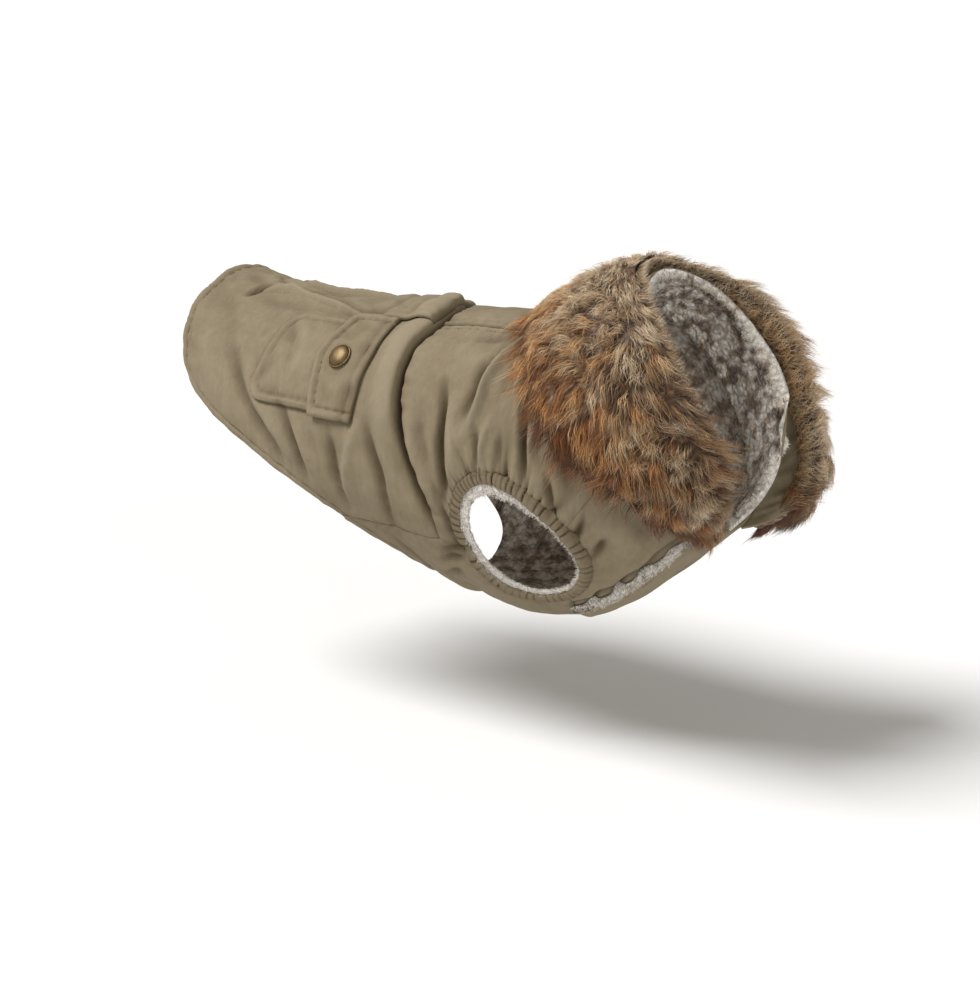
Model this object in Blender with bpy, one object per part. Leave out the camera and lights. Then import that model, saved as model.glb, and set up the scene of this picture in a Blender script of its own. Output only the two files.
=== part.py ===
# Winter coat for a small dog, in the shape it takes when it is worn.
#
# Frame: +X towards the head, +Y to the dog's left, +Z up.  The origin lies on the inside of the
# centre back, at the withers, where the wearer's back carries the coat.
#
# The body of the coat is one form.  A place on it is given by a station, which runs from the tail
# to the neck, and an angle, which is 0 at the spine, positive down the dog's right side, and 180
# at the belly.  Every panel is a patch of that form, given a wall; what lies on a panel is the same
# patch moved out.

import bmesh
import bpy
import numpy as np
from mathutils import Vector

MM = 0.001

# ---------------------------------------------------------------- driving sizes
CLOTH = 2.5 * MM            # brushed shell cloth with its fleece lining, as one wall
THIN_CLOTH = 1.6 * MM       # shell cloth alone, as on pockets and the hood
GAP = 0.3 * MM              # clearance between neighbouring pieces
FLEECE = 3.2 * MM           # pile fleece where it shows
BODY_RADIUS = 72 * MM       # mean radius of the form, which turns seam gaps into angles
NECK_STATION = 120.0        # station of the neck seam
STRIP_ANGLE = 20.0          # half width of the centre-back strip, in degrees
SIDE_ROWS = 8               # facets round each flank
STRIP_ROWS = 4              # facets across the back between the two strip seams

# The form: a row for each section across the body, in millimetres.
# columns: station, top x, top z, bottom x, bottom z, half width, lowness, squareness
BODY_SECTIONS = np.array([
    (-222, -222, 12, -210, -118, 56, .03, .96),
    (-190, -190, 4, -188, -133, 63, .03, .96),
    (-150, -150, -1, -150, -138, 68, .03, .96),
    (-100, -100, 0, -100, -144, 72, .02, .97),
    (-50, -50, 1, -50, -150, 74, .01, 1.0),
    (0, 0, 4, 0, -159, 74, .01, 1.0),
    (40, 34, 7, 48, -165, 73, .01, .98),
    (80, 62, 14, 100, -146, 70, .00, .98),
    (120, 86, 23, 158, -100, 60, .00, 1.0),
])

# The rear hem.  columns: angle, station
REAR_HEM = np.array([
    (0, -212), (23, -212), (48, -216), (66, -214), (78, -204), (84, -188), (92, -163),
    (104, -125), (116, -94), (128, -68), (142, -40), (160, -26), (180, -22),
])

# The waist seam, drawn in by elastic.  columns: angle, station
WAIST = np.array([
    (0, -30), (20, -29), (34, -32), (46, -31), (60, -27), (74, -20), (88, -10), (102, 0), (120, 8),
])

# The seam between flank and belly panel.  columns: station, angle
BELLY_SEAM = np.array([(-80, 125), (20, 115)])

# The skirt's roll over the waist.  columns: angle, share of its full height
ROLL = np.array([
    (-120, .1), (-90, .4), (-55, 1.0), (-35, .7), (-16, .15),
    (0, .9), (12, 1.0), (55, 1.0), (90, .4), (120, .1),
])

# Armhole: a leaning oval in the form's surface, station and angle as lengths.
ARM_CENTRE = (53.5, 115.5)  # station, angle
ARM_LONG = 43.5             # half length along the lean, outer edge of the casing
ARM_SHORT = 30.0            # half length across the lean
ARM_LEAN = (0.52, 0.854)    # direction of the long axis: station, round the body
ARM_CASING = 5.5            # width of the elastic casing
DEGREE_LENGTH = 1.25        # millimetres round the body in a degree
ARM_FACETS = 36
ARM_REAR = 25               # corner of the casing where the belly seam meets it
ARM_SHOULDER = 7            # corner where the shoulder seam meets it
ARM_CHEST = -2              # corner where the chest seam meets it
CORNER_GAP = 0.04           # share of a facet left free on each side of those seams

SHOULDER_TOP_ANGLE = 102.0  # the shoulder seam's end on the neck seam
CHEST_SEAM = 58.0           # station of the seam between belly panel and chest fronts
LAP_ANGLE = 158.0           # edge of the lapping left front, on the right side
UNDERLAP_ANGLE = 168.0      # edge of the right front, under the lap

# Pocket, flap and snap, as stations and angles
POCKET = dict(rear=-141.0, front=-64.0, top=26.0, bottom=74.0, corner=13.0)
FLAP = dict(rear=-86.0, front=-54.0, top=22.0, bottom=76.0, point=7.0)
SNAP_SEGMENTS = 20
SNAP = dict(station=-74.5, angle=48.5, radius=7.8 * MM, height=3.4 * MM, flange=0.9 * MM)
BELT = dict(rear=-84.0, half_angle=22.0, rise=0.8 * MM, puff=1.5 * MM)

# The top edge of the standing collar.  columns: angle of its root, x, y, z, bow out between them
COLLAR_EDGE = np.array([
    (-177, 165, 38, -53, 9), (-140, 160, 48, -32, 6), (-100, 144, 49, -5, 4), (-50, 122, 36, 26, 3),
    (0, 110, 0, 40, 2),
    (50, 122, -35, 26, 2), (100, 143, -47, -5, 2), (140, 155, -45, -33, 2), (172, 160, -27, -58, 2),
])

# The hood lies turned down round the neck with its trimmed edge outwards.
# columns: angle of its root, base x, y, z (low edge of the fur), rim x, y, z (its upper edge), depth of pile
HOOD_FOLD = np.array([
    (-168, 154, 22, -106, 167, 57, -97, 9),
    (-150, 152, 62, -94, 173, 62, -80, 13),
    (-125, 147, 79, -74, 168, 70, -56, 15),
    (-100, 112, 82, -52, 159, 71, -27, 15),
    (-70, 82, 74, -22, 150, 63, 2, 13),
    (-40, 56, 50, 2, 130, 45, 27, 11),
    (-15, 40, 20, 9, 106, 18, 41, 10),
    (0, 37, 0, 11, 100, 0, 44, 10),
    (15, 40, -20, 9, 106, -18, 42, 10),
    (40, 56, -50, 2, 130, -42, 27, 12),
    (70, 80, -74, -22, 154, -56, 6, 14),
    (100, 106, -78, -52, 171, -56, -22, 15),
    (125, 130, -64, -70, 180, -46, -42, 13),
    (150, 147, -44, -88, 177, -36, -66, 10),
    (168, 160, -20, -98, 169, -23, -86, 6),
])
FUR_EDGE = 4 * MM           # half thickness left at the fur's two edges
HOOD_INSET = 10 * MM        # how far the hood cloth stops short of the fur's reach,
HOOD_INSET_SHARE = 0.35     # and at most this share of the fur's width
HOOD_BOW = 2 * MM           # how far the hood cloth bows out between neck seam and fur

SHELL_COLOUR = (0.31, 0.27, 0.19)
FLEECE_COLOUR = (0.66, 0.60, 0.52)
FUR_COLOUR = (0.30, 0.19, 0.10)
BRASS_COLOUR = (0.36, 0.26, 0.12)


# ---------------------------------------------------------------- the form
def smooth(table, key):
    """Read every column after the first at key, on a smooth curve through the rows."""
    keys = table[:, 0]
    values = table[:, 1:]
    slopes = np.gradient(values, keys, axis=0)
    key = np.clip(np.asarray(key, float), keys[0], keys[-1])
    row = np.clip(np.searchsorted(keys, key, side="right") - 1, 0, len(keys) - 2)
    span = (keys[row + 1] - keys[row])[..., None]
    t = (key - keys[row])[..., None] / span
    start = (2 * t**3 - 3 * t**2 + 1) * values[row] + (t**3 - 2 * t**2 + t) * span * slopes[row]
    end = (3 * t**2 - 2 * t**3) * values[row + 1] + (t**3 - t**2) * span * slopes[row + 1]
    return start + end


def straight(table, key):
    """Read the second column at key, on straight lines through the rows."""
    return np.interp(key, table[:, 0], table[:, 1])


def rear_hem(angle):
    return smooth(REAR_HEM, np.abs(angle))[..., 0]


def waist(angle):
    return smooth(WAIST, np.abs(angle))[..., 0]


def plain_form(station, angle):
    """The form without its folds.  Each section is a leaning oval from its top to its bottom point."""
    station, angle = np.broadcast_arrays(np.asarray(station, float), np.radians(angle))
    top_x, top_z, bottom_x, bottom_z, half_width, low, square = np.moveaxis(
        smooth(BODY_SECTIONS, station), -1, 0)
    side = np.sin(angle)
    down = (1 - np.cos(angle)) / 2 + low * side**2
    across = np.sign(side) * np.abs(side) ** square
    points = (top_x + (bottom_x - top_x) * down, -half_width * across, top_z + (bottom_z - top_z) * down)
    return np.stack(points, -1) * MM


def form_normal(station, angle):
    along = plain_form(station + 0.5, angle) - plain_form(station - 0.5, angle)
    around = plain_form(station, angle + 0.5) - plain_form(station, angle - 0.5)
    normal = np.cross(around, along)
    return normal / np.linalg.norm(normal, axis=-1, keepdims=True)


def folds(station, angle):
    """Height of the large folds: the skirt rolls over the gathered waist, and two tucks run back."""
    turn = (angle + 180) % 360 - 180
    side = np.abs(turn)
    fade = straight(ROLL, turn)
    behind = waist(np.minimum(side, 120)) - station
    roll = 5.0 * np.exp(-((behind - 11) / 8) ** 2)
    dip = 1.5 * np.exp(-(behind / 7) ** 2)
    length = np.interp(station, (-178, -160, -75, -60), (0, 1, 1, 0))
    tuck = 1.5 * length * np.exp(-((side - STRIP_ANGLE) / 4) ** 2)
    return ((roll - dip) * fade - tuck) * MM


def body(station, angle, out=0.0):
    """A point of the coat at a station and an angle, moved out from its outer face."""
    station, angle, out = np.broadcast_arrays(np.asarray(station, float), np.asarray(angle, float), out)
    height = out + folds(station, angle)
    return plain_form(station, angle) + form_normal(station, angle) * height[..., None]


def ramp(start, end, steps):
    return np.linspace(start, end, steps + 1)


# ---------------------------------------------------------------- solids
def add_solid(name, vertices, faces, colour, roughness, metallic=0.0):
    """Make one closed object with its faces outwards and its own material."""
    vertices = np.asarray(vertices, float)
    volume = 0.0
    for face in faces:
        for second, third in zip(face[1:-1], face[2:]):
            volume += np.dot(vertices[face[0]], np.cross(vertices[second], vertices[third]))
    if volume < 0:
        faces = [tuple(reversed(face)) for face in faces]
    mesh = bpy.data.meshes.new(name)
    mesh.from_pydata(vertices.tolist(), [], faces)
    mesh.validate()
    return finish_solid(name, mesh, colour, roughness, metallic)


def finish_solid(name, mesh, colour, roughness, metallic):
    mesh.shade_smooth()
    mesh.set_sharp_from_angle(angle=np.radians(40))
    material = bpy.data.materials.new(name)
    material.use_nodes = True
    surface = material.node_tree.nodes["Principled BSDF"]
    surface.inputs["Base Color"].default_value = (*colour, 1.0)
    surface.inputs["Roughness"].default_value = roughness
    surface.inputs["Metallic"].default_value = metallic
    mesh.materials.append(material)
    solid = bpy.data.objects.new(name, mesh)
    bpy.context.scene.collection.objects.link(solid)
    return solid


def add_wall(name, outer, inner, colour, roughness=0.9, ring=False):
    """Close two grids of points into a wall.  A ring joins its last row to its first."""
    rows, columns = outer.shape[:2]
    count = rows * columns
    vertices = np.concatenate([outer.reshape(-1, 3), inner.reshape(-1, 3)])
    faces = []

    def place(row, column, layer):
        return (row % rows) * columns + column + layer * count

    for row in range(rows if ring else rows - 1):
        for column in range(columns - 1):
            # Both layers are split along the same diagonal, so that stacked pieces stay parallel.
            first, second = place(row, column, 0), place(row + 1, column, 0)
            third, fourth = place(row + 1, column + 1, 0), place(row, column + 1, 0)
            for near in ((first, second, third), (first, third, fourth)):
                faces.append(near)
                faces.append(tuple(corner + count for corner in reversed(near)))
        for column, turn in ((0, 1), (columns - 1, -1)):
            edge = (place(row, column, 0), place(row, column, 1),
                    place(row + 1, column, 1), place(row + 1, column, 0))
            faces.append(edge[::turn])
    if not ring:
        for column in range(columns - 1):
            for row, turn in ((0, -1), (rows - 1, 1)):
                edge = (place(row, column, 0), place(row, column, 1),
                        place(row, column + 1, 1), place(row, column + 1, 0))
                faces.append(edge[::turn])
    return add_solid(name, vertices, faces, colour, roughness)


def add_patch(name, stations, angles, low=-CLOTH, high=0.0, colour=SHELL_COLOUR, ring=False):
    """A panel: a grid of stations and angles, with a wall between two heights."""
    return add_wall(name, body(stations, angles, high), body(stations, angles, low), colour, ring=ring)


# ---------------------------------------------------------------- seams as stations and angles
HALF_GAP = GAP / 2 / MM                                 # in millimetres, as stations are
HALF_GAP_ANGLE = np.degrees(GAP / 2 / BODY_RADIUS)


def belly_seam_angle(station):
    return straight(BELLY_SEAM, station)


def seam_end(edge):
    """The station where an edge, given as a function of angle, meets the belly seam."""
    station = 0.0
    for _ in range(30):
        station = float(edge(belly_seam_angle(station)))
    return station


HEM_END = seam_end(rear_hem)
WAIST_END = seam_end(waist)


def armhole(corner, grow=0.0):
    """Stations and angles on the armhole's oval; grow moves it outwards, in millimetres."""
    turn = 2 * np.pi * np.asarray(corner, float) / ARM_FACETS
    along = (ARM_LONG + grow) * np.cos(turn)
    across = (ARM_SHORT + grow) * np.sin(turn)
    station = ARM_CENTRE[0] + along * ARM_LEAN[0] + across * ARM_LEAN[1]
    angle = ARM_CENTRE[1] + (along * ARM_LEAN[1] - across * ARM_LEAN[0]) / DEGREE_LENGTH
    return station, angle


def arm_edge(first, last):
    """Stations and angles of the panel edge round the armhole from one corner to another."""
    step = 1 if last > first else -1
    corners = np.arange(first, last + step, step, dtype=float)
    corners[0] += step * CORNER_GAP
    corners[-1] -= step * CORNER_GAP
    return armhole(corners, HALF_GAP)


def shoulder_seam(side):
    """Points from the armhole to the neck; side is 1 for the side body's edge, -1 for the chest's."""
    start = armhole(ARM_SHOULDER, HALF_GAP)
    station = ramp(start[0], NECK_STATION, 4)
    angle = ramp(start[1], SHOULDER_TOP_ANGLE, 4)
    return station, angle - side * HALF_GAP_ANGLE * 1.3


SKIRT_COLUMNS = 12          # facets from the rear hem to the waist
BELLY_COLUMNS = 2           # facets of belly seam between waist and armhole


def skirt_spread():
    """Shares of the way from hem to waist; they gather near the waist, where the cloth rolls over."""
    return 1 - (1 - ramp(0, 1, SKIRT_COLUMNS)) ** 1.35


def skirt_seam():
    """The belly seam below the skirt, as stations and angles."""
    station = HEM_END + (WAIST_END - HEM_END) * skirt_spread()
    return station, belly_seam_angle(station)


# ---------------------------------------------------------------- panels of the body
def make_back_skirt():
    lower = skirt_seam()[1][:, None] - HALF_GAP_ANGLE
    flank = STRIP_ANGLE + (lower - STRIP_ANGLE) * ramp(0, 1, SIDE_ROWS)[1:]
    middle = np.broadcast_to(ramp(-STRIP_ANGLE, STRIP_ANGLE, STRIP_ROWS), (len(lower), STRIP_ROWS + 1))
    angles = np.concatenate([-flank[:, ::-1], middle, flank], axis=1)
    hem = rear_hem(angles[0])
    front = waist(angles[-1]) - HALF_GAP
    add_patch("back_skirt", hem + (front - hem) * skirt_spread()[:, None], angles)


def make_centre_back_strip():
    edge = STRIP_ANGLE - HALF_GAP_ANGLE
    angles = ramp(-edge, edge, STRIP_ROWS)
    rear = waist(angles) + HALF_GAP
    stations = rear + (NECK_STATION - rear) * ramp(0, 1, SIDE_COLUMNS)[:, None]
    add_patch("centre_back_strip", stations, angles)


SIDE_COLUMNS = BELLY_COLUMNS + ARM_REAR - ARM_SHOULDER + 4


def side_body_edge():
    """Lower edge of the side body: belly seam, round the armhole, up the shoulder seam."""
    arm_station, arm_angle = arm_edge(ARM_REAR, ARM_SHOULDER)
    seam_station = ramp(WAIST_END, arm_station[0], BELLY_COLUMNS)[:-1]
    seam_angle = belly_seam_angle(seam_station) - HALF_GAP_ANGLE
    shoulder_station, shoulder_angle = shoulder_seam(1)
    station = np.concatenate([seam_station, arm_station, shoulder_station[1:]])
    return station, np.concatenate([seam_angle, arm_angle, shoulder_angle[1:]])


def make_side_body(name, side):
    low_station, low_angle = side_body_edge()
    top_angle = STRIP_ANGLE + HALF_GAP_ANGLE
    share = ramp(0, 1, SIDE_COLUMNS)
    top_station = waist(top_angle) + (NECK_STATION - waist(top_angle)) * share
    t = ramp(0, 1, SIDE_ROWS)
    angles = top_angle + (low_angle - top_angle)[:, None] * t
    stations = top_station[:, None] + (low_station - top_station)[:, None] * t
    waist_line = waist(angles[0]) + HALF_GAP
    fade = np.clip(1 - share / share[8], 0, 1)[:, None] ** 2
    stations = stations + (waist_line - stations[0]) * fade
    add_patch(name, stations, side * angles)


def make_belly_panel():
    seam_station, seam_angle = skirt_seam()
    arm_station, arm_angle = arm_edge(ARM_REAR, ARM_FACETS + ARM_CHEST)
    rest = ramp(WAIST_END, arm_station[0], BELLY_COLUMNS)[1:-1]
    station = np.concatenate([seam_station, rest, arm_station])
    seam_angle = np.concatenate([seam_angle, belly_seam_angle(rest)]) + HALF_GAP_ANGLE
    angle = np.concatenate([seam_angle, arm_angle])
    across = ramp(0, 1, 10)
    angles = angle[:, None] + (360 - 2 * angle)[:, None] * across
    fold_angle = 180 - np.abs(angles - 180)
    share = ramp(0, 1, len(station) - 1)[:, None]
    # The hem's curve fades out along the belly seam, and the chest seam's comes in at the far end.
    rise = rear_hem(fold_angle) - rear_hem(angle)[:, None]
    fade = np.concatenate([1 - skirt_spread(), np.zeros(len(station) - SKIRT_COLUMNS - 1)])[:, None]
    front = (CHEST_SEAM - 2 * HALF_GAP - station[-1]) * np.sin(np.pi * across)
    stations = station[:, None] + rise * fade + front * share**3
    add_patch("belly_panel", stations, angles)


def chest_edge(side):
    """Outer edge of a chest front: up the armhole, then up the shoulder seam."""
    arm_station, arm_angle = arm_edge(ARM_CHEST, ARM_SHOULDER)
    shoulder_station, shoulder_angle = shoulder_seam(-1)
    return (np.concatenate([arm_station, shoulder_station[1:]]),
            side * np.concatenate([arm_angle, shoulder_angle[1:]]))


def lap_lift(angle):
    """The left front rises over the right one, which lies under its free edge."""
    past_centre = np.clip((np.abs(angle) - 181) / 9, 0, 1)
    return (CLOTH + 2 * GAP) * past_centre**2 * (3 - 2 * past_centre)


def make_chest_front(name, side, free_angle, columns):
    station, angle = chest_edge(side)
    share = ramp(0, 1, len(station) - 1)
    free_station = CHEST_SEAM + HALF_GAP + (NECK_STATION - CHEST_SEAM - HALF_GAP) * share
    across = ramp(0, 1, columns)
    angles = angle[:, None] + (free_angle - angle)[:, None] * across
    stations = station[:, None] + (free_station - station)[:, None] * across
    # The foot follows the belly panel's front edge, which is straight across the middle.
    curve = np.sin(np.pi * (180 - np.abs(180 - np.abs(angles)) - np.abs(angle[0]))
                   / (360 - 2 * np.abs(angle[0])))
    foot = station[0] + (CHEST_SEAM + HALF_GAP - station[0]) * curve[0]
    stations = stations + (foot - stations[0]) * (1 - share[:, None]) ** 3
    lift = lap_lift(angles)
    return add_patch(name, stations, angles, lift - CLOTH, lift)


def make_chest_edge_fleece():
    stations = ramp(CHEST_SEAM + 3, NECK_STATION - 3, 12)[:, None]
    angles = ramp(LAP_ANGLE - 6.5, LAP_ANGLE - 2 * HALF_GAP_ANGLE, 2)[None, :]
    add_patch("chest_edge_fleece", stations, angles, GAP, GAP + FLEECE, FLEECE_COLOUR)


def make_armhole_casing(name, side):
    corners = np.arange(ARM_FACETS)[:, None]
    station, angle = armhole(corners, -np.array([4 * HALF_GAP, 3.0, ARM_CASING]))
    high = np.array([0.4, 1.8, 0.3]) * MM
    add_patch(name, station, side * angle, -CLOTH, high, ring=True)


def make_armhole_fleece(name, side):
    corners = np.arange(ARM_FACETS)[:, None]
    station, angle = armhole(corners, -np.array([1.5, 10.0]))
    high = np.array([0.0, -0.5]) * MM - CLOTH - GAP
    low = high - FLEECE + np.array([0.6, 0.6]) * MM
    add_patch(name, station, side * angle, low, high, FLEECE_COLOUR, ring=True)


# ---------------------------------------------------------------- what lies on the skirt
def make_pocket(name, side):
    middle = (POCKET["top"] + POCKET["bottom"]) / 2
    half = (POCKET["bottom"] - POCKET["top"]) / 2
    angles = middle + half * np.sin(np.pi / 2 * ramp(-1, 1, 10))
    radius = POCKET["corner"]
    from_edge = (half - np.abs(angles - middle)) * DEGREE_LENGTH
    inside = np.clip(radius - from_edge, 0, radius)
    rounding = radius - np.sqrt(radius**2 - inside**2)
    lean = 6.0 * (POCKET["bottom"] - angles) / (2 * half)
    rear = POCKET["rear"] + lean + rounding
    stations = rear + (POCKET["front"] - 5.0 - rear) * ramp(0, 1, 5)[:, None]
    add_patch(name, stations, side * angles, GAP, GAP + THIN_CLOTH)


FLAP_RISE = THIN_CLOTH + 3 * GAP        # height of the flap's underside over the pocket
FLAP_SEAM_RISE = 4 * GAP                # and where it is sewn down, by the roll of the skirt


def make_pocket_flap(name, side):
    middle = (FLAP["top"] + FLAP["bottom"]) / 2
    angles = ramp(FLAP["top"] + HALF_GAP_ANGLE, FLAP["bottom"], 8)
    point = FLAP["point"] * (1 - np.abs(angles - middle) / (FLAP["bottom"] - middle))
    rear = FLAP["rear"] - point
    share = np.array([0, .2, .4, .6, .75, .88, 1.0])[:, None]
    stations = rear + (FLAP["front"] - rear) * share
    low = np.interp(stations, (-66, -60), (FLAP_RISE, FLAP_SEAM_RISE))
    add_patch(name, stations, side * angles, low, low + THIN_CLOTH)


def make_snap_cap(name, side):
    """A domed brass cap with a rolled edge, turned on its own Z axis and set square to the cloth."""
    flange, radius, height = SNAP["flange"], SNAP["radius"], SNAP["height"]
    profile = [(0.0, 0.0), (radius - 0.3 * MM, 0.0), (radius, 0.3 * MM), (radius, flange),
               (radius - 0.5 * MM, flange + 0.4 * MM), (radius * 0.86, flange + 0.5 * MM),
               (radius * 0.72, height * 0.72), (radius * 0.42, height * 0.94), (0.0, height)]
    turned = bmesh.new()
    corners = [turned.verts.new((reach, 0.0, rise)) for reach, rise in profile]
    edges = [turned.edges.new(pair) for pair in zip(corners, corners[1:])]
    bmesh.ops.spin(turned, geom=corners + edges, cent=(0, 0, 0), axis=(0, 0, 1), angle=2 * np.pi,
                   steps=SNAP_SEGMENTS)
    bmesh.ops.remove_doubles(turned, verts=turned.verts, dist=1e-5)
    bmesh.ops.recalc_face_normals(turned, faces=turned.faces)
    mesh = bpy.data.meshes.new(name)
    turned.to_mesh(mesh)
    turned.free()
    cap = finish_solid(name, mesh, BRASS_COLOUR, 0.35, 1.0)
    station, angle = SNAP["station"], side * SNAP["angle"]
    bow = radius**2 / (2 * BODY_RADIUS)
    cap.location = body(station, angle, FLAP_RISE + THIN_CLOTH + GAP + bow)
    normal = Vector(form_normal(station, np.float64(angle)))
    cap.rotation_euler = normal.to_track_quat("Z", "Y").to_euler()


def make_half_belt():
    edge = BELT["half_angle"] - 3 * HALF_GAP_ANGLE
    angles = ramp(-edge, edge, 6)
    front = waist(angles) - 3.0
    share = ramp(0, 1, 8)[:, None]
    stations = BELT["rear"] + (front - BELT["rear"]) * share
    low = GAP + BELT["rise"] * np.minimum(1, 2 * share)
    puff = BELT["puff"] * np.sin(np.pi * np.clip(share, 0.08, 0.92)) * np.cos(np.radians(angles * 3))
    add_patch("half_belt", stations, angles, low, low + THIN_CLOTH + puff)


# ---------------------------------------------------------------- collar and hood
RING_NORMAL = np.array([0.863, 0.0, 0.505])             # the way out of the neck
NECK_MIDDLE = np.array([0.122, 0.0, -0.038])


def grid_normals(points):
    """Normals of a grid of points, turned away from the neck's middle line."""
    normal = np.cross(np.gradient(points, axis=0), np.gradient(points, axis=1))
    normal /= np.linalg.norm(normal, axis=-1, keepdims=True)
    axis = NECK_MIDDLE + ((points - NECK_MIDDLE) @ RING_NORMAL)[..., None] * RING_NORMAL
    if ((points - axis) * normal).sum() < 0:
        normal = -normal
    return normal


def neck_root(angles, out):
    return body(NECK_STATION, angles, out) + 2 * GAP * RING_NORMAL


def collar_surface(angles, rise, out):
    """The standing collar at a share of its height, from the neck seam to its top edge."""
    edge = smooth(COLLAR_EDGE, angles) * MM
    root = neck_root(angles, out)
    lean = RING_NORMAL + 0.6 * form_normal(NECK_STATION, angles)
    lean /= np.linalg.norm(lean, axis=-1, keepdims=True)
    rise = rise[:, None, None]
    bow = 4 * rise * (1 - rise) * edge[None, :, 3:]
    return root + (edge[:, :3] - root) * rise + bow * lean


def make_collar():
    angles = ramp(COLLAR_EDGE[0, 0], COLLAR_EDGE[-1, 0], 21)
    points = collar_surface(angles, ramp(0, 1, 4), -1.6 * MM)
    away = grid_normals(points)
    away[0] = form_normal(NECK_STATION, angles)
    inner = points - away * 1.5 * MM
    add_wall("collar_shell", points, inner, SHELL_COLOUR)
    lining = inner - away * 3 * GAP
    add_wall("collar_fleece", lining, lining - away * FLEECE, FLEECE_COLOUR)


def hood_rows(angles):
    fold = smooth(HOOD_FOLD, angles) * MM
    return fold[:, :3], fold[:, 3:6], fold[:, 6:] / MM


def outward(low, rim):
    """Unit vectors square to the strip and to its run round the neck, away from the neck."""
    run = np.gradient((low + rim) / 2, axis=0)
    out = np.cross(run, rim - low)
    out /= np.linalg.norm(out, axis=-1, keepdims=True)
    middle = (low + rim) / 2 - NECK_MIDDLE
    if (out * middle).sum() < 0:
        out = -out
    return out


def make_hood():
    angles = ramp(HOOD_FOLD[0, 0], HOOD_FOLD[-1, 0], 21)
    low, rim, pile = hood_rows(angles)
    out = outward(low, rim)
    chord = rim - low
    strip = chord / np.linalg.norm(chord, axis=-1, keepdims=True)
    inset = np.minimum(HOOD_INSET, HOOD_INSET_SHARE * np.linalg.norm(chord, axis=-1, keepdims=True))
    shell_rim = rim - strip * inset - out * 2 * GAP
    root = neck_root(angles, 1.6 * MM)
    length = np.linalg.norm(shell_rim - root, axis=-1, keepdims=True)
    share = ramp(0, 1, 4)[:, None, None]
    bow = 4 * share * (1 - share) * np.minimum(HOOD_BOW, 0.1 * length) * form_normal(NECK_STATION, angles)
    points = root + (shell_rim - root) * share + bow
    away = grid_normals(points)
    away[0] = form_normal(NECK_STATION, angles)
    add_wall("hood_shell", points, points - away * THIN_CLOTH, SHELL_COLOUR)

    # The fur fills the room between the cloth it grows on and the reach of its pile.
    backing = points[1:] + away[1:] * 3 * GAP
    onward = points[-1] - points[-2]
    backing[-1] += 6 * GAP * onward / np.linalg.norm(onward, axis=-1, keepdims=True)
    inner = np.concatenate([low[None], backing, rim[None]])
    across = ramp(0, 1, len(inner) - 1)[:, None, None]
    depth = FUR_EDGE + (pile * MM - FUR_EDGE) * np.sin(np.pi * across) ** 0.7
    add_wall("fur_trim", low + chord * across + out * depth, inner, FUR_COLOUR, 1.0)


def make_coat():
    for old in list(bpy.data.objects):
        bpy.data.objects.remove(old, do_unlink=True)
    make_back_skirt()
    make_centre_back_strip()
    make_belly_panel()
    make_chest_front("chest_front_right", 1, UNDERLAP_ANGLE, 5)
    make_chest_front("chest_front_left", -1, LAP_ANGLE - 360, 9)
    make_chest_edge_fleece()
    make_half_belt()
    for word, side in (("right", 1), ("left", -1)):
        make_side_body("side_body_" + word, side)
        make_armhole_casing("armhole_casing_" + word, side)
        make_armhole_fleece("armhole_fleece_" + word, side)
        make_pocket("pocket_" + word, side)
        make_pocket_flap("pocket_flap_" + word, side)
        make_snap_cap("snap_cap_" + word, side)
    make_collar()
    make_hood()


make_coat()
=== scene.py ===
# A small dog's winter coat in the shape it takes when worn: khaki brushed cloth, fleece lining,
# a turned-down hood with a fur edge, two patch pockets with snapped flaps.
import math

import bpy
import numpy as np
from mathutils import Matrix


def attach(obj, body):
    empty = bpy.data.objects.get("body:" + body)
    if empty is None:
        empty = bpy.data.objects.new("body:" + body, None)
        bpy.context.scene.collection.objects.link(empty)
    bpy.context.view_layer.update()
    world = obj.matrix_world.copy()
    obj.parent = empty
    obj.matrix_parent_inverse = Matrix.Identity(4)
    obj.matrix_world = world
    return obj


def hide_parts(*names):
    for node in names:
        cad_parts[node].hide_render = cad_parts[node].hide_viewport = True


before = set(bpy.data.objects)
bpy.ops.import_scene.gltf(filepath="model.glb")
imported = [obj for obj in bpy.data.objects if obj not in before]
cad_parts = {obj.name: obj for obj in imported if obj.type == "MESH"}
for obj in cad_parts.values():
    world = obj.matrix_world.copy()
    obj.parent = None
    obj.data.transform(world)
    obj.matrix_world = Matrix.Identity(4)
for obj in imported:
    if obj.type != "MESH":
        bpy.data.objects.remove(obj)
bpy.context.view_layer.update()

mm = 0.001

# Camera, floor and light.
viewValues = dict(eye=(0.9443, -1.1387, 0.2675), pitch=14.0, turn=40.0, lens=96.67, sensor=36.0)
lightValues = dict(
    world=0.3, worldTone=(1.0, 0.955, 0.885), floorLevel=-0.232, floorReach=30,
    floorTone=0.965, floorReturn=0.75,
    # the way the light comes from, its strength and its width in degrees
    key=((-0.38, -0.42, 0.82), 2.85, 30.0),
    fill=((0.88, -0.45, 0.26), 0.74, 40.0),
)


def makeCamera():
    data = bpy.data.cameras.new("coatView")
    data.sensor_fit = "HORIZONTAL"
    data.sensor_width = viewValues["sensor"]
    data.lens = viewValues["lens"]
    data.clip_start = 0.05
    data.clip_end = 60.0
    camera = bpy.data.objects.new("coatView", data)
    bpy.context.scene.collection.objects.link(camera)
    camera.location = viewValues["eye"]
    camera.rotation_euler = (math.radians(90 - viewValues["pitch"]), 0, math.radians(viewValues["turn"]))
    bpy.context.scene.camera = camera


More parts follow.
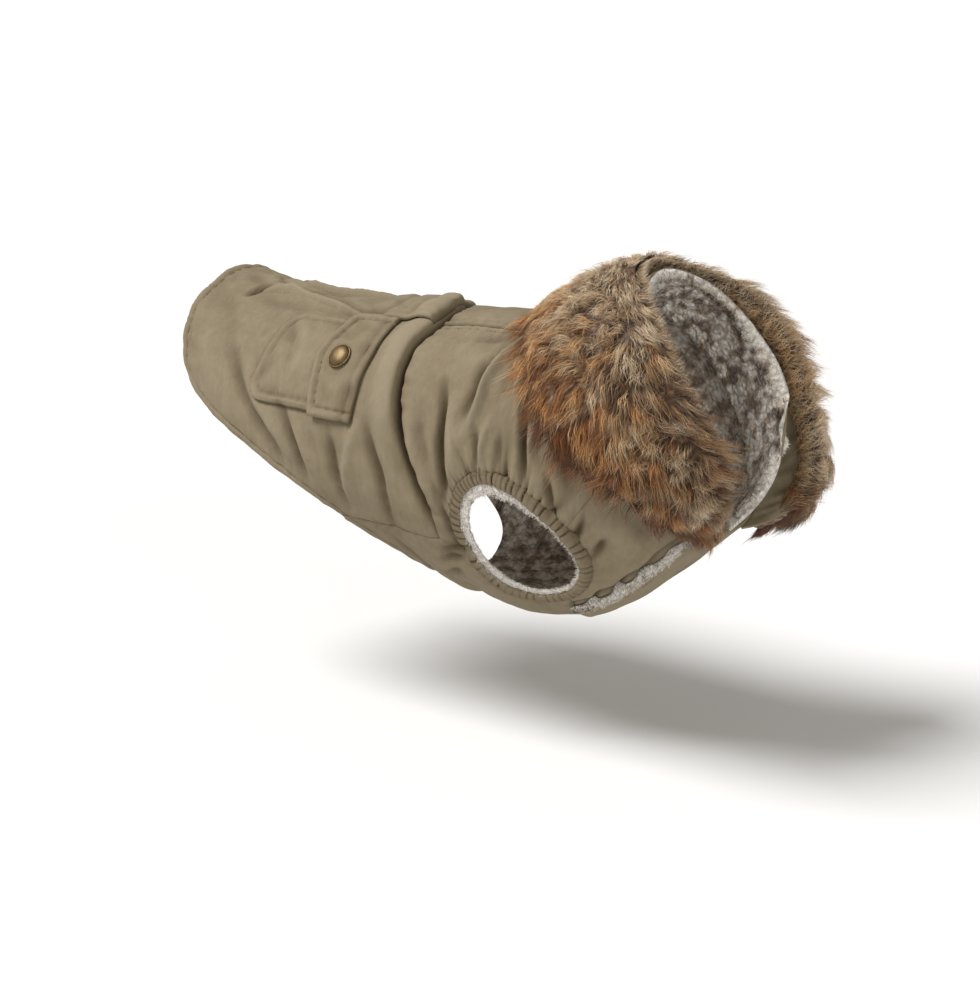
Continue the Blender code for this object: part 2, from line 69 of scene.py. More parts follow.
def makeLamp(name, way, strength, width):
    # A distant light that comes from way; width is its angle in degrees.
    data = bpy.data.lights.new(name, "SUN")
    data.energy = strength
    data.angle = math.radians(width)
    lamp = bpy.data.objects.new(name, data)
    bpy.context.scene.collection.objects.link(lamp)
    back = np.array(way) / np.linalg.norm(way)
    side = np.cross((0, 0, 1), back)
    side /= np.linalg.norm(side)
    turned = Matrix(np.stack([side, np.cross(back, side), back], 1).tolist()).to_4x4()
    turned.translation = (back * 3).tolist()
    lamp.matrix_world = turned


def mixShaders(owner, share, first, second, end):
    # Joins two shaders by a share from 0 to 1 and hands the result to the socket end.
    both = addNode(owner, "ShaderNodeMixShader")
    for output, socket in zip((share, first, second), both.inputs):
        connect(output, socket)
    connect(both.outputs[0], end)


def makeStage():
    scene = bpy.context.scene
    scene.view_settings.view_transform = "Standard"
    scene.view_settings.look = "None"
    world = bpy.data.worlds.new("studio")
    scene.world = world
    world.use_nodes = True
    background = world.node_tree.nodes["Background"]
    background.inputs["Color"].default_value = (*lightValues["worldTone"], 1)
    background.inputs["Strength"].default_value = lightValues["world"]
    # Past the floor's end the room is as pale as the floor.
    wall = addNode(world, "ShaderNodeBackground", Color=(1, 1, 1, 1))
    seen = addNode(world, "ShaderNodeLightPath")
    mixShaders(world, seen.outputs["Is Camera Ray"], background.outputs[0], wall.outputs[0],
               world.node_tree.nodes["World Output"].inputs["Surface"])
    level, reach = lightValues["floorLevel"], lightValues["floorReach"]
    mesh = bpy.data.meshes.new("studioFloor")
    corners = [(-reach, -reach, level), (reach, -reach, level), (reach, reach, level), (-reach, reach, level)]
    mesh.from_pydata(corners, [], [(0, 1, 2, 3)])
    floor = bpy.data.objects.new("studioFloor", mesh)
    scene.collection.objects.link(floor)
    paper, surface = newMaterial("palePaper", Roughness=0.95, Specular_IOR_Level=0.1)
    grain = addNode(paper, "ShaderNodeTexNoise", Scale=9.0, Detail=4.0)
    tone = lightValues["floorTone"]
    mix = mixColours(paper, grain.outputs["Fac"], (tone - 0.01,) * 3, (tone + 0.01,) * 3)
    # The paper looks pale, but gives back only part of its light, so that the coat keeps its shaded side.
    path = addNode(paper, "ShaderNodeLightPath")
    mix = mixColours(paper, path.outputs["Is Camera Ray"], (lightValues["floorReturn"],) * 3, mix)
    connect(mix, surface.inputs["Base Color"])
    # From below the floor isn't there.
    under = addNode(paper, "ShaderNodeNewGeometry")
    clear = addNode(paper, "ShaderNodeBsdfTransparent")
    mixShaders(paper, under.outputs["Backfacing"], surface.outputs[0], clear.outputs[0],
               paper.node_tree.nodes["Material Output"].inputs["Surface"])
    mesh.materials.append(paper)
    makeLamp("keyLight", *lightValues["key"])
    makeLamp("fillLight", *lightValues["fill"])


# Helpers for node trees: an owner is a material, the world or a node group.
def newMaterial(name, **values):
    # A new material and its surface shader; an underscore in a value's name stands for a space.
    material = bpy.data.materials.new(name)
    material.use_nodes = True
    surface = material.node_tree.nodes["Principled BSDF"]
    for title, value in values.items():
        surface.inputs[title.replace("_", " ")].default_value = value
    return material, surface


def connect(output, socket):
    socket.id_data.links.new(output, socket)


def fill(socket, value):
    # Joins a socket to another one, or sets it to a number or a colour.
    if isinstance(value, (tuple, list)):
        socket.default_value = (*value, 1.0)
    elif isinstance(value, (int, float)):
        socket.default_value = value
    else:
        connect(value, socket)


def addNode(owner, kind, **values):
    node = getattr(owner, "node_tree", owner).nodes.new(kind)
    for key, value in values.items():
        if key in node.inputs.keys():
            node.inputs[key].default_value = value
        else:
            setattr(node, key, value)
    return node


def mixColours(owner, share, first, second):
    # Colours mixed by a share from 0 to 1; each colour is a tuple or a socket.
    node = addNode(owner, "ShaderNodeMix", data_type="RGBA")
    for socket, value in ((node.inputs[0], share), (node.inputs[6], first), (node.inputs[7], second)):
        fill(socket, value)
    return node.outputs[2]


def calculate(owner, operation, *values, clamp=False):
    node = addNode(owner, "ShaderNodeMath", operation=operation, use_clamp=clamp)
    for socket, value in zip(node.inputs, values):
        fill(socket, value)
    return node.outputs[0]


def rampNode(owner, share, stops):
    # Colours on a ramp; each stop is a place from 0 to 1 and a colour as picked on a screen.
    node = addNode(owner, "ShaderNodeValToRGB")
    stopList = node.color_ramp.elements
    while len(stopList) < len(stops):
        stopList.new(0.5)
    for stop, (place, colour) in zip(stopList, stops):
        stop.position = place
        stop.color = (*fromScreen(*colour), 1.0)
    connect(share, node.inputs[0])
    return node.outputs[0]


def fromScreen(*values):
    # A colour as picked on a screen, 0 to 255, turned into the linear one that nodes take.
    share = np.array(values, float) / 255
    linear = np.where(share < 0.04045, share / 12.92, ((share + 0.055) / 1.055) ** 2.4)
    return tuple(float(x) for x in linear)


def newGroup(name, inputs, outputs):
    group = bpy.data.node_groups.new(name, "ShaderNodeTree")
    for title, kind, value in inputs:
        socket = group.interface.new_socket(name=title, in_out="INPUT", socket_type=kind)
        if value is not None:
            socket.default_value = value
    for title in outputs:
        group.interface.new_socket(name=title, in_out="OUTPUT", socket_type="NodeSocketFloat")
    return group, group.nodes.new("NodeGroupInput"), group.nodes.new("NodeGroupOutput")


def makeWeaveGroup():
    # Fine plain weave: the product of one sine along each thread direction, softened by noise.
    group, given, made = newGroup(
        "fineWeave",
        [("Map", "NodeSocketVector", None), ("Threads", "NodeSocketFloat", 2000.0),
         ("Nap", "NodeSocketFloat", 0.5)],
        ["Height", "Mask"])
    parts = addNode(group, "ShaderNodeSeparateXYZ")
    connect(given.outputs["Map"], parts.inputs[0])
    waves = []
    for axis in (0, 1):
        turn = calculate(group, "MULTIPLY", parts.outputs[axis], given.outputs["Threads"])
        waves.append(calculate(group, "SINE", calculate(group, "MULTIPLY", turn, math.pi)))
    weave = calculate(group, "MULTIPLY", *waves)
    nap = addNode(group, "ShaderNodeTexNoise", Scale=900.0, Detail=3.0, Roughness=0.6)
    connect(given.outputs["Map"], nap.inputs["Vector"])
    soft = calculate(group, "MULTIPLY", nap.outputs["Fac"], given.outputs["Nap"])
    connect(calculate(group, "ADD", calculate(group, "MULTIPLY", weave, 0.35), soft), made.inputs["Height"])
    connect(calculate(group, "MULTIPLY_ADD", weave, 0.5, 0.5), made.inputs["Mask"])
    return group


def makeNapGroup():
    # Worn, brushed cloth: broad patches, a medium mottle and short nap strokes, each a mask from 0 to 1.
    group, given, made = newGroup(
        "brushedNap",
        [("Place", "NodeSocketVector", None), ("Patch Scale", "NodeSocketFloat", 22.0),
         ("Mottle Scale", "NodeSocketFloat", 160.0)],
        ["Patches", "Mottle", "Strokes"])
    for title, scale, detail, stretch in (("Patches", "Patch Scale", 3.0, (1, 1, 1)),
                                          ("Mottle", "Mottle Scale", 5.0, (1, 1, 1)),
                                          ("Strokes", "Mottle Scale", 4.0, (2.4, 2.4, 0.5))):
        moved = addNode(group, "ShaderNodeMapping", Scale=stretch)
        connect(given.outputs["Place"], moved.inputs["Vector"])
        noise = addNode(group, "ShaderNodeTexNoise", Detail=detail, Roughness=0.55)
        connect(moved.outputs[0], noise.inputs["Vector"])
        connect(given.outputs[scale], noise.inputs["Scale"])
        spread = addNode(group, "ShaderNodeMapRange")
        spread.inputs["From Min"].default_value = 0.3
        spread.inputs["From Max"].default_value = 0.7
        connect(noise.outputs["Fac"], spread.inputs["Value"])
        connect(spread.outputs["Result"], made.inputs[title])
    return group


def makeCurlGroup():
    # Curled pile: soft cells with wandering edges, as a height and as a mask of the clefts between the curls,
    # by which shade is painted into the clefts.
    group, given, made = newGroup(
        "fleeceCurl", [("Place", "NodeSocketVector", None), ("Curls", "NodeSocketFloat", 330.0)],
        ["Height", "CleftShade"])
    noise = addNode(group, "ShaderNodeTexNoise", Scale=240.0, Detail=2.0)
    connect(given.outputs["Place"], noise.inputs["Vector"])
    bend = addNode(group, "ShaderNodeVectorMath", operation="SCALE")
    connect(noise.outputs["Color"], bend.inputs[0])
    bend.inputs["Scale"].default_value = 0.005
    moved = addNode(group, "ShaderNodeVectorMath", operation="ADD")
    connect(given.outputs["Place"], moved.inputs[0])
    connect(bend.outputs[0], moved.inputs[1])
    cells = addNode(group, "ShaderNodeTexVoronoi", feature="SMOOTH_F1", Smoothness=0.3)
    connect(moved.outputs[0], cells.inputs["Vector"])
    connect(given.outputs["Curls"], cells.inputs["Scale"])
    far = cells.outputs["Distance"]
    fine = calculate(group, "MULTIPLY", noise.outputs["Fac"], 0.5)
    connect(calculate(group, "SUBTRACT", fine, far), made.inputs["Height"])
    connect(calculate(group, "MULTIPLY_ADD", far, 2.0, -0.7, clamp=True), made.inputs["CleftShade"])
    return group


def useGroup(material, group, **values):
    # A node that holds the group, with the inputs named filled; an underline stands for a space.
    node = material.node_tree.nodes.new("ShaderNodeGroup")
    node.node_tree = group
    for title, value in values.items():
        fill(node.inputs[title.replace("_", " ")], value)
    return node


def addBump(material, height, strength, distance, under=None):
    # A bump from a height, laid over another bump where one is given.
    bump = addNode(material, "ShaderNodeBump", Strength=strength, Distance=distance)
    connect(height, bump.inputs["Height"])
    if under:
        connect(under, bump.inputs["Normal"])
    return bump.outputs[0]


clothLook = dict(
    # worn is paler worn cloth, also painted on fold ridges as painted light; deep is the colour of painted
    # shade down in the folds
    light=(148, 135, 111), middle=(138, 125, 101), dark=(112, 98, 74), worn=(164, 152, 129),
    deep=(70, 55, 32),
    threads=2100.0, sheen=0.1, roughness=0.88,
)


def makeCloth(name, shade=1.0):
    # The fold attribute read below is 0.5 on the plain cloth, 0 in its deepest folds and 1 on its highest
    # ridges; by it shade is painted into the folds and light onto the ridges.
    material, surface = newMaterial(
        name, Roughness=clothLook["roughness"], Sheen_Weight=clothLook["sheen"], Sheen_Roughness=0.45,
        Sheen_Tint=(*fromScreen(214, 205, 186), 1), Specular_IOR_Level=0.25)
    place = addNode(material, "ShaderNodeTexCoord")
    flat = addNode(material, "ShaderNodeUVMap", uv_map="clothMap")
    nap = useGroup(material, groups["nap"], Place=place.outputs["Object"])
    weave = useGroup(material, groups["weave"], Map=flat.outputs[0], Threads=clothLook["threads"])

    def tone(key):
        return tuple(c * shade for c in fromScreen(*clothLook[key]))

    base = mixColours(material, nap.outputs["Patches"], tone("middle"), tone("light"))
    strokes = calculate(material, "MULTIPLY", nap.outputs["Strokes"], 0.3)
    base = mixColours(material, strokes, base, tone("dark"))
    mottle = calculate(material, "MULTIPLY", calculate(material, "POWER", nap.outputs["Mottle"], 2.2), 0.2)
    base = mixColours(material, mottle, base, tone("worn"))
    # Painted light and shade: the cloth is painted paler along the ridges of its folds, partly as wear and
    # partly as painted light, and darker down in them as painted shade.
    told = addNode(material, "ShaderNodeAttribute", attribute_name="paintedFoldShading")
    ridgeWearAndLight = calculate(material, "MULTIPLY_ADD", told.outputs["Fac"], 1.0, -0.5, clamp=True)
    base = mixColours(material, ridgeWearAndLight, base, tone("worn"))
    foldShadeShare = calculate(material, "MULTIPLY_ADD", told.outputs["Fac"], -2.0, 1.0, clamp=True)
    base = mixColours(material, calculate(material, "MULTIPLY", foldShadeShare, 0.85), base, tone("deep"))
    threads = calculate(material, "MULTIPLY", weave.outputs["Mask"], 0.16)
    connect(mixColours(material, threads, base, tone("dark")), surface.inputs["Base Color"])
    woven = addBump(material, weave.outputs["Height"], 0.32, 0.00016)
    connect(addBump(material, nap.outputs["Mottle"], 0.35, 0.0007, woven), surface.inputs["Normal"])
    rough = calculate(material, "MULTIPLY_ADD", nap.outputs["Strokes"], 0.12, clothLook["roughness"] - 0.06)
    connect(rough, surface.inputs["Roughness"])
    return material


fleeceLook = dict(
    # place on the ramp and colour, from dark pile to pale; the ivory fleece's two colours
    ramp=[(0.0, (74, 57, 45)), (0.45, (164, 144, 124)), (0.72, (240, 229, 212)), (1.0, (253, 247, 237))],
    ivory=[(252, 246, 236), (255, 253, 248)],
)


def makeFleece(name, ivory=False):
    # The attribute "mottle" runs from 0, dark pile, to 1, light pile; ivory fleece doesn't read it.
    material, surface = newMaterial(
        name, Roughness=0.95, Sheen_Weight=0.6, Sheen_Roughness=0.5, Specular_IOR_Level=0.15)
    place = addNode(material, "ShaderNodeTexCoord")
    nap = useGroup(material, groups["nap"], Place=place.outputs["Object"],
                   Mottle_Scale=420.0, Patch_Scale=120.0)
    if ivory:
        base = mixColours(material, nap.outputs["Patches"], *(fromScreen(*c) for c in fleeceLook["ivory"]))
    else:
        told = addNode(material, "ShaderNodeAttribute", attribute_name="mottle")
        share = calculate(material, "MULTIPLY_ADD", nap.outputs["Mottle"], 0.3, -0.15)
        share = calculate(material, "ADD", told.outputs["Fac"], share, clamp=True)
        base = rampNode(material, share, fleeceLook["ramp"])
    dark, middle = (fromScreen(*fleeceLook["ramp"][k][1]) for k in (0, 1))
    grain = calculate(material, "MULTIPLY", nap.outputs["Strokes"], 0.08 if ivory else 0.25)
    base = mixColours(material, grain, base, middle)
    curl = useGroup(material, groups["curl"], Place=place.outputs["Object"], Curls=420.0 if ivory else 330.0)
    # Painted shade: the clefts between the curls are mixed towards a darker colour.
    cleftShade = calculate(material, "MULTIPLY", curl.outputs["CleftShade"], 0.2 if ivory else 0.6)
    connect(mixColours(material, cleftShade, base, middle if ivory else dark), surface.inputs["Base Color"])
    connect(addBump(material, curl.outputs["Height"], 1.0, 0.0024), surface.inputs["Normal"])
    return material


# Fur and fleece hairs read the map "OFBake": across it the hair's own shade, up it the way from root to tip.
furLook = dict(
    # up to .45 grey tan, from dark to cream; from .55 fox red, from chestnut to pale
    root=[(0, (52, 35, 23)), (.15, (90, 64, 43)), (.3, (132, 101, 71)), (.45, (182, 153, 119)),
          (.55, (60, 35, 19)), (.7, (106, 63, 31)), (.85, (148, 98, 55)), (1, (182, 134, 86))],
    middle=[(0, (94, 68, 48)), (.15, (156, 122, 87)), (.3, (212, 180, 138)), (.45, (242, 221, 188)),
            (.55, (112, 67, 34)), (.7, (174, 112, 57)), (.85, (216, 158, 96)), (1, (240, 202, 148))],
    tip=[(0, (124, 96, 70)), (.15, (198, 166, 127)), (.3, (246, 223, 188)), (.45, (255, 246, 228)),
         (.55, (140, 88, 46)), (.7, (202, 142, 80)), (.85, (242, 196, 136)), (1, (255, 234, 198))],
)
pileLook = dict(
    root=[(0.0, (58, 46, 38)), (0.5, (128, 112, 98)), (1.0, (232, 223, 209))],
    middle=[(0.0, (84, 66, 54)), (0.5, (176, 160, 144)), (1.0, (250, 243, 232))],
    tip=[(0.0, (110, 90, 74)), (0.5, (212, 198, 182)), (1.0, (255, 251, 243))],
)


def makeHair(name, look, roughness):
    # A ramp each for root, middle and tip, read by the hair's own shade and mixed along its length.
    material, surface = newMaterial(name, Roughness=roughness, Specular_IOR_Level=0.3, Sheen_Weight=0.15)
    own = addNode(material, "ShaderNodeUVMap", uv_map="OFBake")
    parts = addNode(material, "ShaderNodeSeparateXYZ")
    connect(own.outputs[0], parts.inputs[0])
    root, middle, tip = (rampNode(material, parts.outputs[0], look[key]) for key in ("root", "middle", "tip"))
    low = calculate(material, "MULTIPLY", parts.outputs[1], 2.2, clamp=True)
    high = calculate(material, "MULTIPLY_ADD", parts.outputs[1], 2.4, -1.4, clamp=True)
    base = mixColours(material, high, mixColours(material, low, root, middle), tip)
    connect(base, surface.inputs["Base Color"])
    return material


metalLook = dict(dark=(112, 94, 68), light=(140, 120, 90), tarnish=(70, 50, 30))
threadLook = dict(dark=(104, 93, 70), light=(142, 130, 104))


def makeBrass():
    # The attribute "tarnish" is 1 in the cap's grooves, where the metal stays dark.
    material, surface = newMaterial("antiqueBrass", Metallic=1.0)
    place = addNode(material, "ShaderNodeTexCoord")
    nap = useGroup(material, groups["nap"], Place=place.outputs["Object"],
                   Patch_Scale=260.0, Mottle_Scale=900.0)
    dark, light, tarnish = (fromScreen(*metalLook[key]) for key in ("dark", "light", "tarnish"))
    told = addNode(material, "ShaderNodeAttribute", attribute_name="tarnish")
    base = mixColours(material, nap.outputs["Patches"], dark, light)
    connect(mixColours(material, told.outputs["Fac"], base, tarnish), surface.inputs["Base Color"])
    rough = calculate(material, "MULTIPLY_ADD", nap.outputs["Mottle"], 0.14, 0.44)
    connect(rough, surface.inputs["Roughness"])
    connect(addBump(material, nap.outputs["Strokes"], 0.12, 0.0001), surface.inputs["Normal"])
    return material


def makeThread():
    material, surface = newMaterial("khakiThread", Roughness=0.6)
    place = addNode(material, "ShaderNodeTexCoord")
    nap = useGroup(material, groups["nap"], Place=place.outputs["Object"], Mottle_Scale=1200.0)
    dark, light = (fromScreen(*threadLook[key]) for key in ("dark", "light"))
    connect(mixColours(material, nap.outputs["Mottle"], dark, light), surface.inputs["Base Color"])
    connect(addBump(material, nap.outputs["Strokes"], 0.4, 0.0001), surface.inputs["Normal"])
    return material


groups = dict(weave=makeWeaveGroup(), nap=makeNapGroup(), curl=makeCurlGroup())
makeCamera()
makeStage()
looks = dict(
    # The hood's cloth is the coat's cloth painted 4 per cent darker, as painted shade.
    cloth=makeCloth("khakiBrushedCloth"), hood=makeCloth("khakiClothPaintedShade", 0.96),
    lining=makeFleece("mottledFleece"), ivory=makeFleece("ivoryFleece", True),
    fur=makeHair("foxFur", furLook, 0.55), pile=makeHair("fleecePile", pileLook, 0.8),
    brass=makeBrass(), thread=makeThread(),
)
print("camera, stage and finishes made")

# The coat's form: a station runs from tail to neck in millimetres, an angle from the spine round the
# right side to the belly in degrees; cloth, thin, gap and fleece are thicknesses in millimetres.
formValues = dict(
    cloth=2.5, thin=1.6, gap=0.3, fleece=3.2, neck=120.0, strip=20.0,
    # millimetres of cloth to one degree round the body, and by which panels meet past each seam
    degree=1.25, meet=0.08,
    # station, top x, top z, bottom x, bottom z, half width, lowness, squareness
    sections=np.array([
        (-222, -222, 12, -210, -118, 56, .03, .96), (-190, -190, 4, -188, -133, 63, .03, .96),
        (-150, -150, -1, -150, -138, 68, .03, .96), (-100, -100, 0, -100, -144, 72, .02, .97),
        (-50, -50, 1, -50, -150, 74, .01, 1.0), (0, 0, 4, 0, -159, 74, .01, 1.0),
        (40, 34, 7, 48, -165, 73, .01, .98), (80, 62, 14, 100, -146, 70, .00, .98),
        (120, 86, 23, 158, -100, 60, .00, 1.0)]),
    # angle, then station of the rear hem; angle, then station of the waist
    hem=np.array([(0, -212), (23, -212), (48, -216), (66, -214), (78, -204), (84, -188), (92, -163),
                  (104, -125), (116, -94), (128, -68), (142, -40), (160, -26), (180, -22)]),
    waist=np.array([(0, -30), (20, -29), (34, -32), (46, -31), (60, -27), (74, -20), (88, -10),
                    (102, 0), (120, 8)]),
    # angle, then strength of the roll over the waist; angle, then depth of the crease in front of it
    roll=np.array([(-120, .1), (-90, .4), (-55, 1.0), (-35, .7), (-16, .15),
                   (0, .9), (12, 1.0), (55, 1.0), (90, .4), (120, .1)]),
    cut=np.array([(-120, 0), (-96, .3), (-70, 1.0), (-10, .9), (0, .8), (10, .9), (70, 1.0),
                  (96, .35), (120, 0)]),
)
degree, cloth, thin, gap = (formValues[key] for key in ("degree", "cloth", "thin", "gap"))
neck, strip = formValues["neck"], formValues["strip"]
# The overlap at a seam in millimetres, and in degrees at the body's mean radius.
half = -formValues["meet"]
halfTurn = math.degrees(half / 72)


def readSmooth(table, key):
    # A smooth curve through the rows: cubic pieces that meet with one slope.
    keys, values = table[:, 0], table[:, 1:]
    slopes = np.gradient(values, keys, axis=0)
    key = np.clip(np.asarray(key, float), keys[0], keys[-1])
    row = np.clip(np.searchsorted(keys, key, side="right") - 1, 0, len(keys) - 2)
    span = (keys[row + 1] - keys[row])[..., None]
    t = (key - keys[row])[..., None] / span
    start = (2 * t**3 - 3 * t**2 + 1) * values[row] + (t**3 - 2 * t**2 + t) * span * slopes[row]
    return start + (3 * t**2 - 2 * t**3) * values[row + 1] + (t**3 - t**2) * span * slopes[row + 1]


def readTable(table, key):
    # Straight pieces through the rows of a key and one value.
    return np.interp(key, table[:, 0], table[:, 1])


def rearHem(angle):
    # The hem's station at an angle: a smooth curve, the same on both sides.
    return readSmooth(formValues["hem"], np.abs(angle))[..., 0]


def waistLine(angle):
    # The waist seam's station at an angle: a smooth curve, the same on both sides.
    return readSmooth(formValues["waist"], np.abs(angle))[..., 0]


def wrapped(angle):
    # The same angle between -180 and 180.
    return (np.asarray(angle, float) + 180) % 360 - 180


def plainForm(station, angle):
    # A leaning oval from the section's top point to its bottom point: half a cosine down, a sine across.
    station, angle = np.broadcast_arrays(np.asarray(station, float), np.radians(angle))
    section = readSmooth(formValues["sections"], station)
    topX, topZ, bottomX, bottomZ, width, low, square = np.moveaxis(section, -1, 0)
    side = np.sin(angle)
    down = (1 - np.cos(angle)) / 2 + low * side**2
    across = np.sign(side) * np.abs(side) ** square
    return np.stack((topX + (bottomX - topX) * down, -width * across,
                     topZ + (bottomZ - topZ) * down), -1) * mm


def unit(vectors):
    # Vectors over their own length.
    return vectors / np.maximum(np.linalg.norm(vectors, axis=-1, keepdims=True), 1e-12)


def formNormal(station, angle):
    # Square to the form: the cross product of its slopes around and along, over half a step each way.
    along = plainForm(station + 0.5, angle) - plainForm(station - 0.5, angle)
    around = plainForm(station, angle + 0.5) - plainForm(station, angle - 0.5)
    return unit(np.cross(around, along))


def softField(places, size, seed, waves=14):
    # Sum of sine waves in random directions, each about one size long; runs from about -1 to 1.
    chance = np.random.default_rng(seed)
    places = np.asarray(places, float)
    run = chance.normal(size=(waves, places.shape[-1]))
    length = np.linalg.norm(run, axis=1, keepdims=True)
    run *= (2 * np.pi / size) * chance.uniform(0.6, 1.5, (waves, 1)) / length
    shift = chance.uniform(0, 2 * np.pi, waves)
    total = np.zeros(places.shape[:-1])
    for wave, start in zip(run, shift):
        total += np.sin(places @ wave + start)
    return total / math.sqrt(waves)


# Creases on the dog's right: height in millimetres (below 0 a trough), half width, then stations and angles.
# The left side has the same kind, each moved and scaled a little.
creaseValues = dict(
    depth=2.3, leftScale=0.9, leftShift=(4.0, 2.5),
    flank=[
        (-2.7, 3.0, [(4, 52), (10, 64), (12, 77), (15, 89), (15, 97)]),
        (1.3, 4.5, [(16, 58), (22, 72), (24, 88)]),
        (2.4, 4.0, [(48, 30), (38, 45), (35, 57), (30, 69)]),
        (-2.0, 4.0, [(38, 33), (31, 45), (30, 54), (25, 64)]),
        (1.6, 4.0, [(74, 34), (67, 42), (58, 50)]),
        (-1.0, 4.0, [(62, 34), (56, 44), (50, 56)]),
        (-3.2, 2.6, [(67, 46), (72, 64), (72, 78), (70, 91)]),
        (1.6, 4.0, [(80, 54), (81, 70), (76, 84)]),
        (-3.4, 3.8, [(90, 56), (95, 76), (96, 88), (94, 100)]),
        (-1.6, 2.4, [(36, 68), (38, 76), (39, 86)]),
        (1.3, 3.0, [(46, 64), (43, 74), (42, 84)]),
        (-1.3, 2.4, [(54, 70), (54, 84)]),
        (-2.4, 4.0, [(-24, 66), (-21, 74), (-13, 85), (-2, 99), (3, 108)]),
        (1.0, 5.0, [(-14, 68), (-6, 82), (6, 98)]),
        (-1.2, 5.0, [(-8, 68), (-3, 76), (6, 92)]),
        (-1.7, 2.0, [(84, 92), (83, 100), (81, 108)]),
        (-1.4, 2.4, [(8, 92), (15, 104), (18, 113), (22, 120)]),
        (-0.9, 2.5, [(0, 30), (30, 27), (60, 28)]),
        (0.9, 6.0, [(2, 36), (24, 40), (52, 33)]),
    ],
    chest=[
        (-1.5, 1.7, [(86, 122), (89, 118), (94, 114)]),
        (-1.6, 2.0, [(87, 132), (92, 130), (97, 127)]),
        (1.2, 4.5, [(97, 118), (101, 128), (99, 141)]),
        (-1.0, 4.0, [(104, 120), (108, 132), (106, 144)]),
        (-2.2, 1.2, [(62, 153.2), (68, 152), (74, 153.4), (79, 151.4), (85, 153.4), (92, 152), (98, 153.4),
                     (106, 152), (114, 152.6)]),
    ],
    belly=[
        (-1.5, 1.9, [(5, 123), (16, 118), (26, 115)]),
        (-1.7, 2.0, [(-2, 130), (10, 125), (20, 122)]),
        (-1.4, 2.0, [(-5, 143), (3, 137), (12, 132)]),
        (-1.2, 3.0, [(-34, 128), (-24, 140), (-22, 160)]),
        (-1.0, 3.0, [(6, 150), (10, 170), (6, 196)]),
        (1.2, 4.0, [(-12, 140), (-4, 160), (-8, 186)]),
    ],
    skirt=[
        (-2.0, 4.5, [(-164, 57), (-153, 68), (-133, 82), (-119, 92), (-112, 100)]),
        (1.4, 6.0, [(-150, 58), (-138, 72), (-121, 84), (-106, 95)]),
        (-1.8, 3.6, [(-114, 74), (-102, 88), (-92, 106)]),
        (1.3, 4.5, [(-104, 78), (-92, 90), (-82, 106)]),
        (-1.7, 3.8, [(-72, 82), (-69, 92), (-63, 116)]),
        (1.6, 3.8, [(-50, 76), (-54, 90), (-58, 108)]),
        (-2.0, 3.8, [(-44, 74), (-37, 86), (-31, 98), (-30, 118)]),
        (-1.3, 3.0, [(-28, 74), (-20, 86), (-10, 99)]),
        (-3.2, 1.9, [(-181.5, 22), (-179.5, 17), (-179, 13), (-178.5, 8)]),
        (1.2, 4.0, [(-192, -2), (-180, 2), (-168, 6), (-150, 4)]),
        (-2.0, 1.7, [(-178, 7), (-170, 2), (-160, 0.5), (-129, 5), (-98, 13)]),
        (1.2, 3.0, [(-172, 11), (-160, 7), (-121, 14), (-90, 20)]),
        (-0.5, 7.0, [(-190, 30), (-176, 44), (-166, 62)]),
        (1.0, 9.0, [(-200, 50), (-180, 66), (-168, 80)]),
        (-1.1, 3.4, [(-128, 34), (-118, 46), (-112, 60)]),
        (1.0, 4.0, [(-122, 30), (-108, 42), (-104, 62)]),
    ],
)


def creaseHeight(station, angle, side=1):
    # Each crease is a bell across its line, tapered by a sine to both ends; the line's nearest point counts.
    total = np.zeros(np.broadcast(station, angle).shape)
    chance = np.random.default_rng(11)
    for key in ("flank", "chest", "belly", "skirt"):
        for height, width, line in creaseValues[key]:
            path = np.array(line, float)
            shift = chance.uniform(-1, 1, 3)
            if side < 0:
                path = path + shift[:2] * creaseValues["leftShift"]
                height = height * creaseValues["leftScale"] * (1 + 0.25 * shift[2])
            length = np.hypot(np.diff(path[:, 0]), np.diff(path[:, 1]) * degree).sum()
            way = np.linspace(0, 1, int(np.clip(length / (0.5 * width), 12, 100)))
            spots = readSmooth(np.concatenate([np.linspace(0, 1, len(path))[:, None], path], 1), way)
            nearest, share = np.full(total.shape, 1e9), np.zeros(total.shape)
            for place, spot in zip(way, spots):
                gapAway = np.hypot(station - spot[0], (angle * side - spot[1]) * degree)
                closer = gapAway < nearest
                nearest = np.where(closer, gapAway, nearest)
                share = np.where(closer, place, share)
            taper = np.sin(np.pi * np.clip(share * 0.86 + 0.07, 0, 1)) ** 0.8
            total += creaseValues["depth"] * height * taper * np.exp(-(nearest / width) ** 2)
    return total


# Each fold's height and half width in millimetres, and where the roll's top lies behind the waist seam.
foldValues = dict(
    roll=(4.8, 8.5), rollAt=9, dip=(1.5, 7), deep=(6.4, 2.3), tuck=(1.5, 4), broad=(0.45, 0.22, 0.09),
    # just left of the spine the waist lies further back; the roll's top leans forward over the crease
    back=(16, 24, 12), lean=(4.3, 4.1),
)


def bell(away, height, width):
    # Height times e to the minus square of the distance over the half width.
    return height * np.exp(-(away / width) ** 2)


def bigFolds(station, angle):
    # The skirt rolls over the gathered waist, a deep crease lies in front of the roll, and two tucks run
    # back: each is a bell of the distance from its line, faded along it.
    turn = wrapped(angle)
    side = np.abs(turn)
    behind = waistLine(np.minimum(side, 120)) - station
    roll = bell(behind - foldValues["rollAt"], *foldValues["roll"])
    dip = bell(behind, *foldValues["dip"])
    deep = bell(behind, *foldValues["deep"]) * readTable(formValues["cut"], turn)
    length = np.interp(station, (-178, -160, -75, -60), (0, 1, 1, 0))
    tuck = length * bell(side - strip, *foldValues["tuck"])
    return (roll - dip) * readTable(formValues["roll"], turn) - tuck - deep


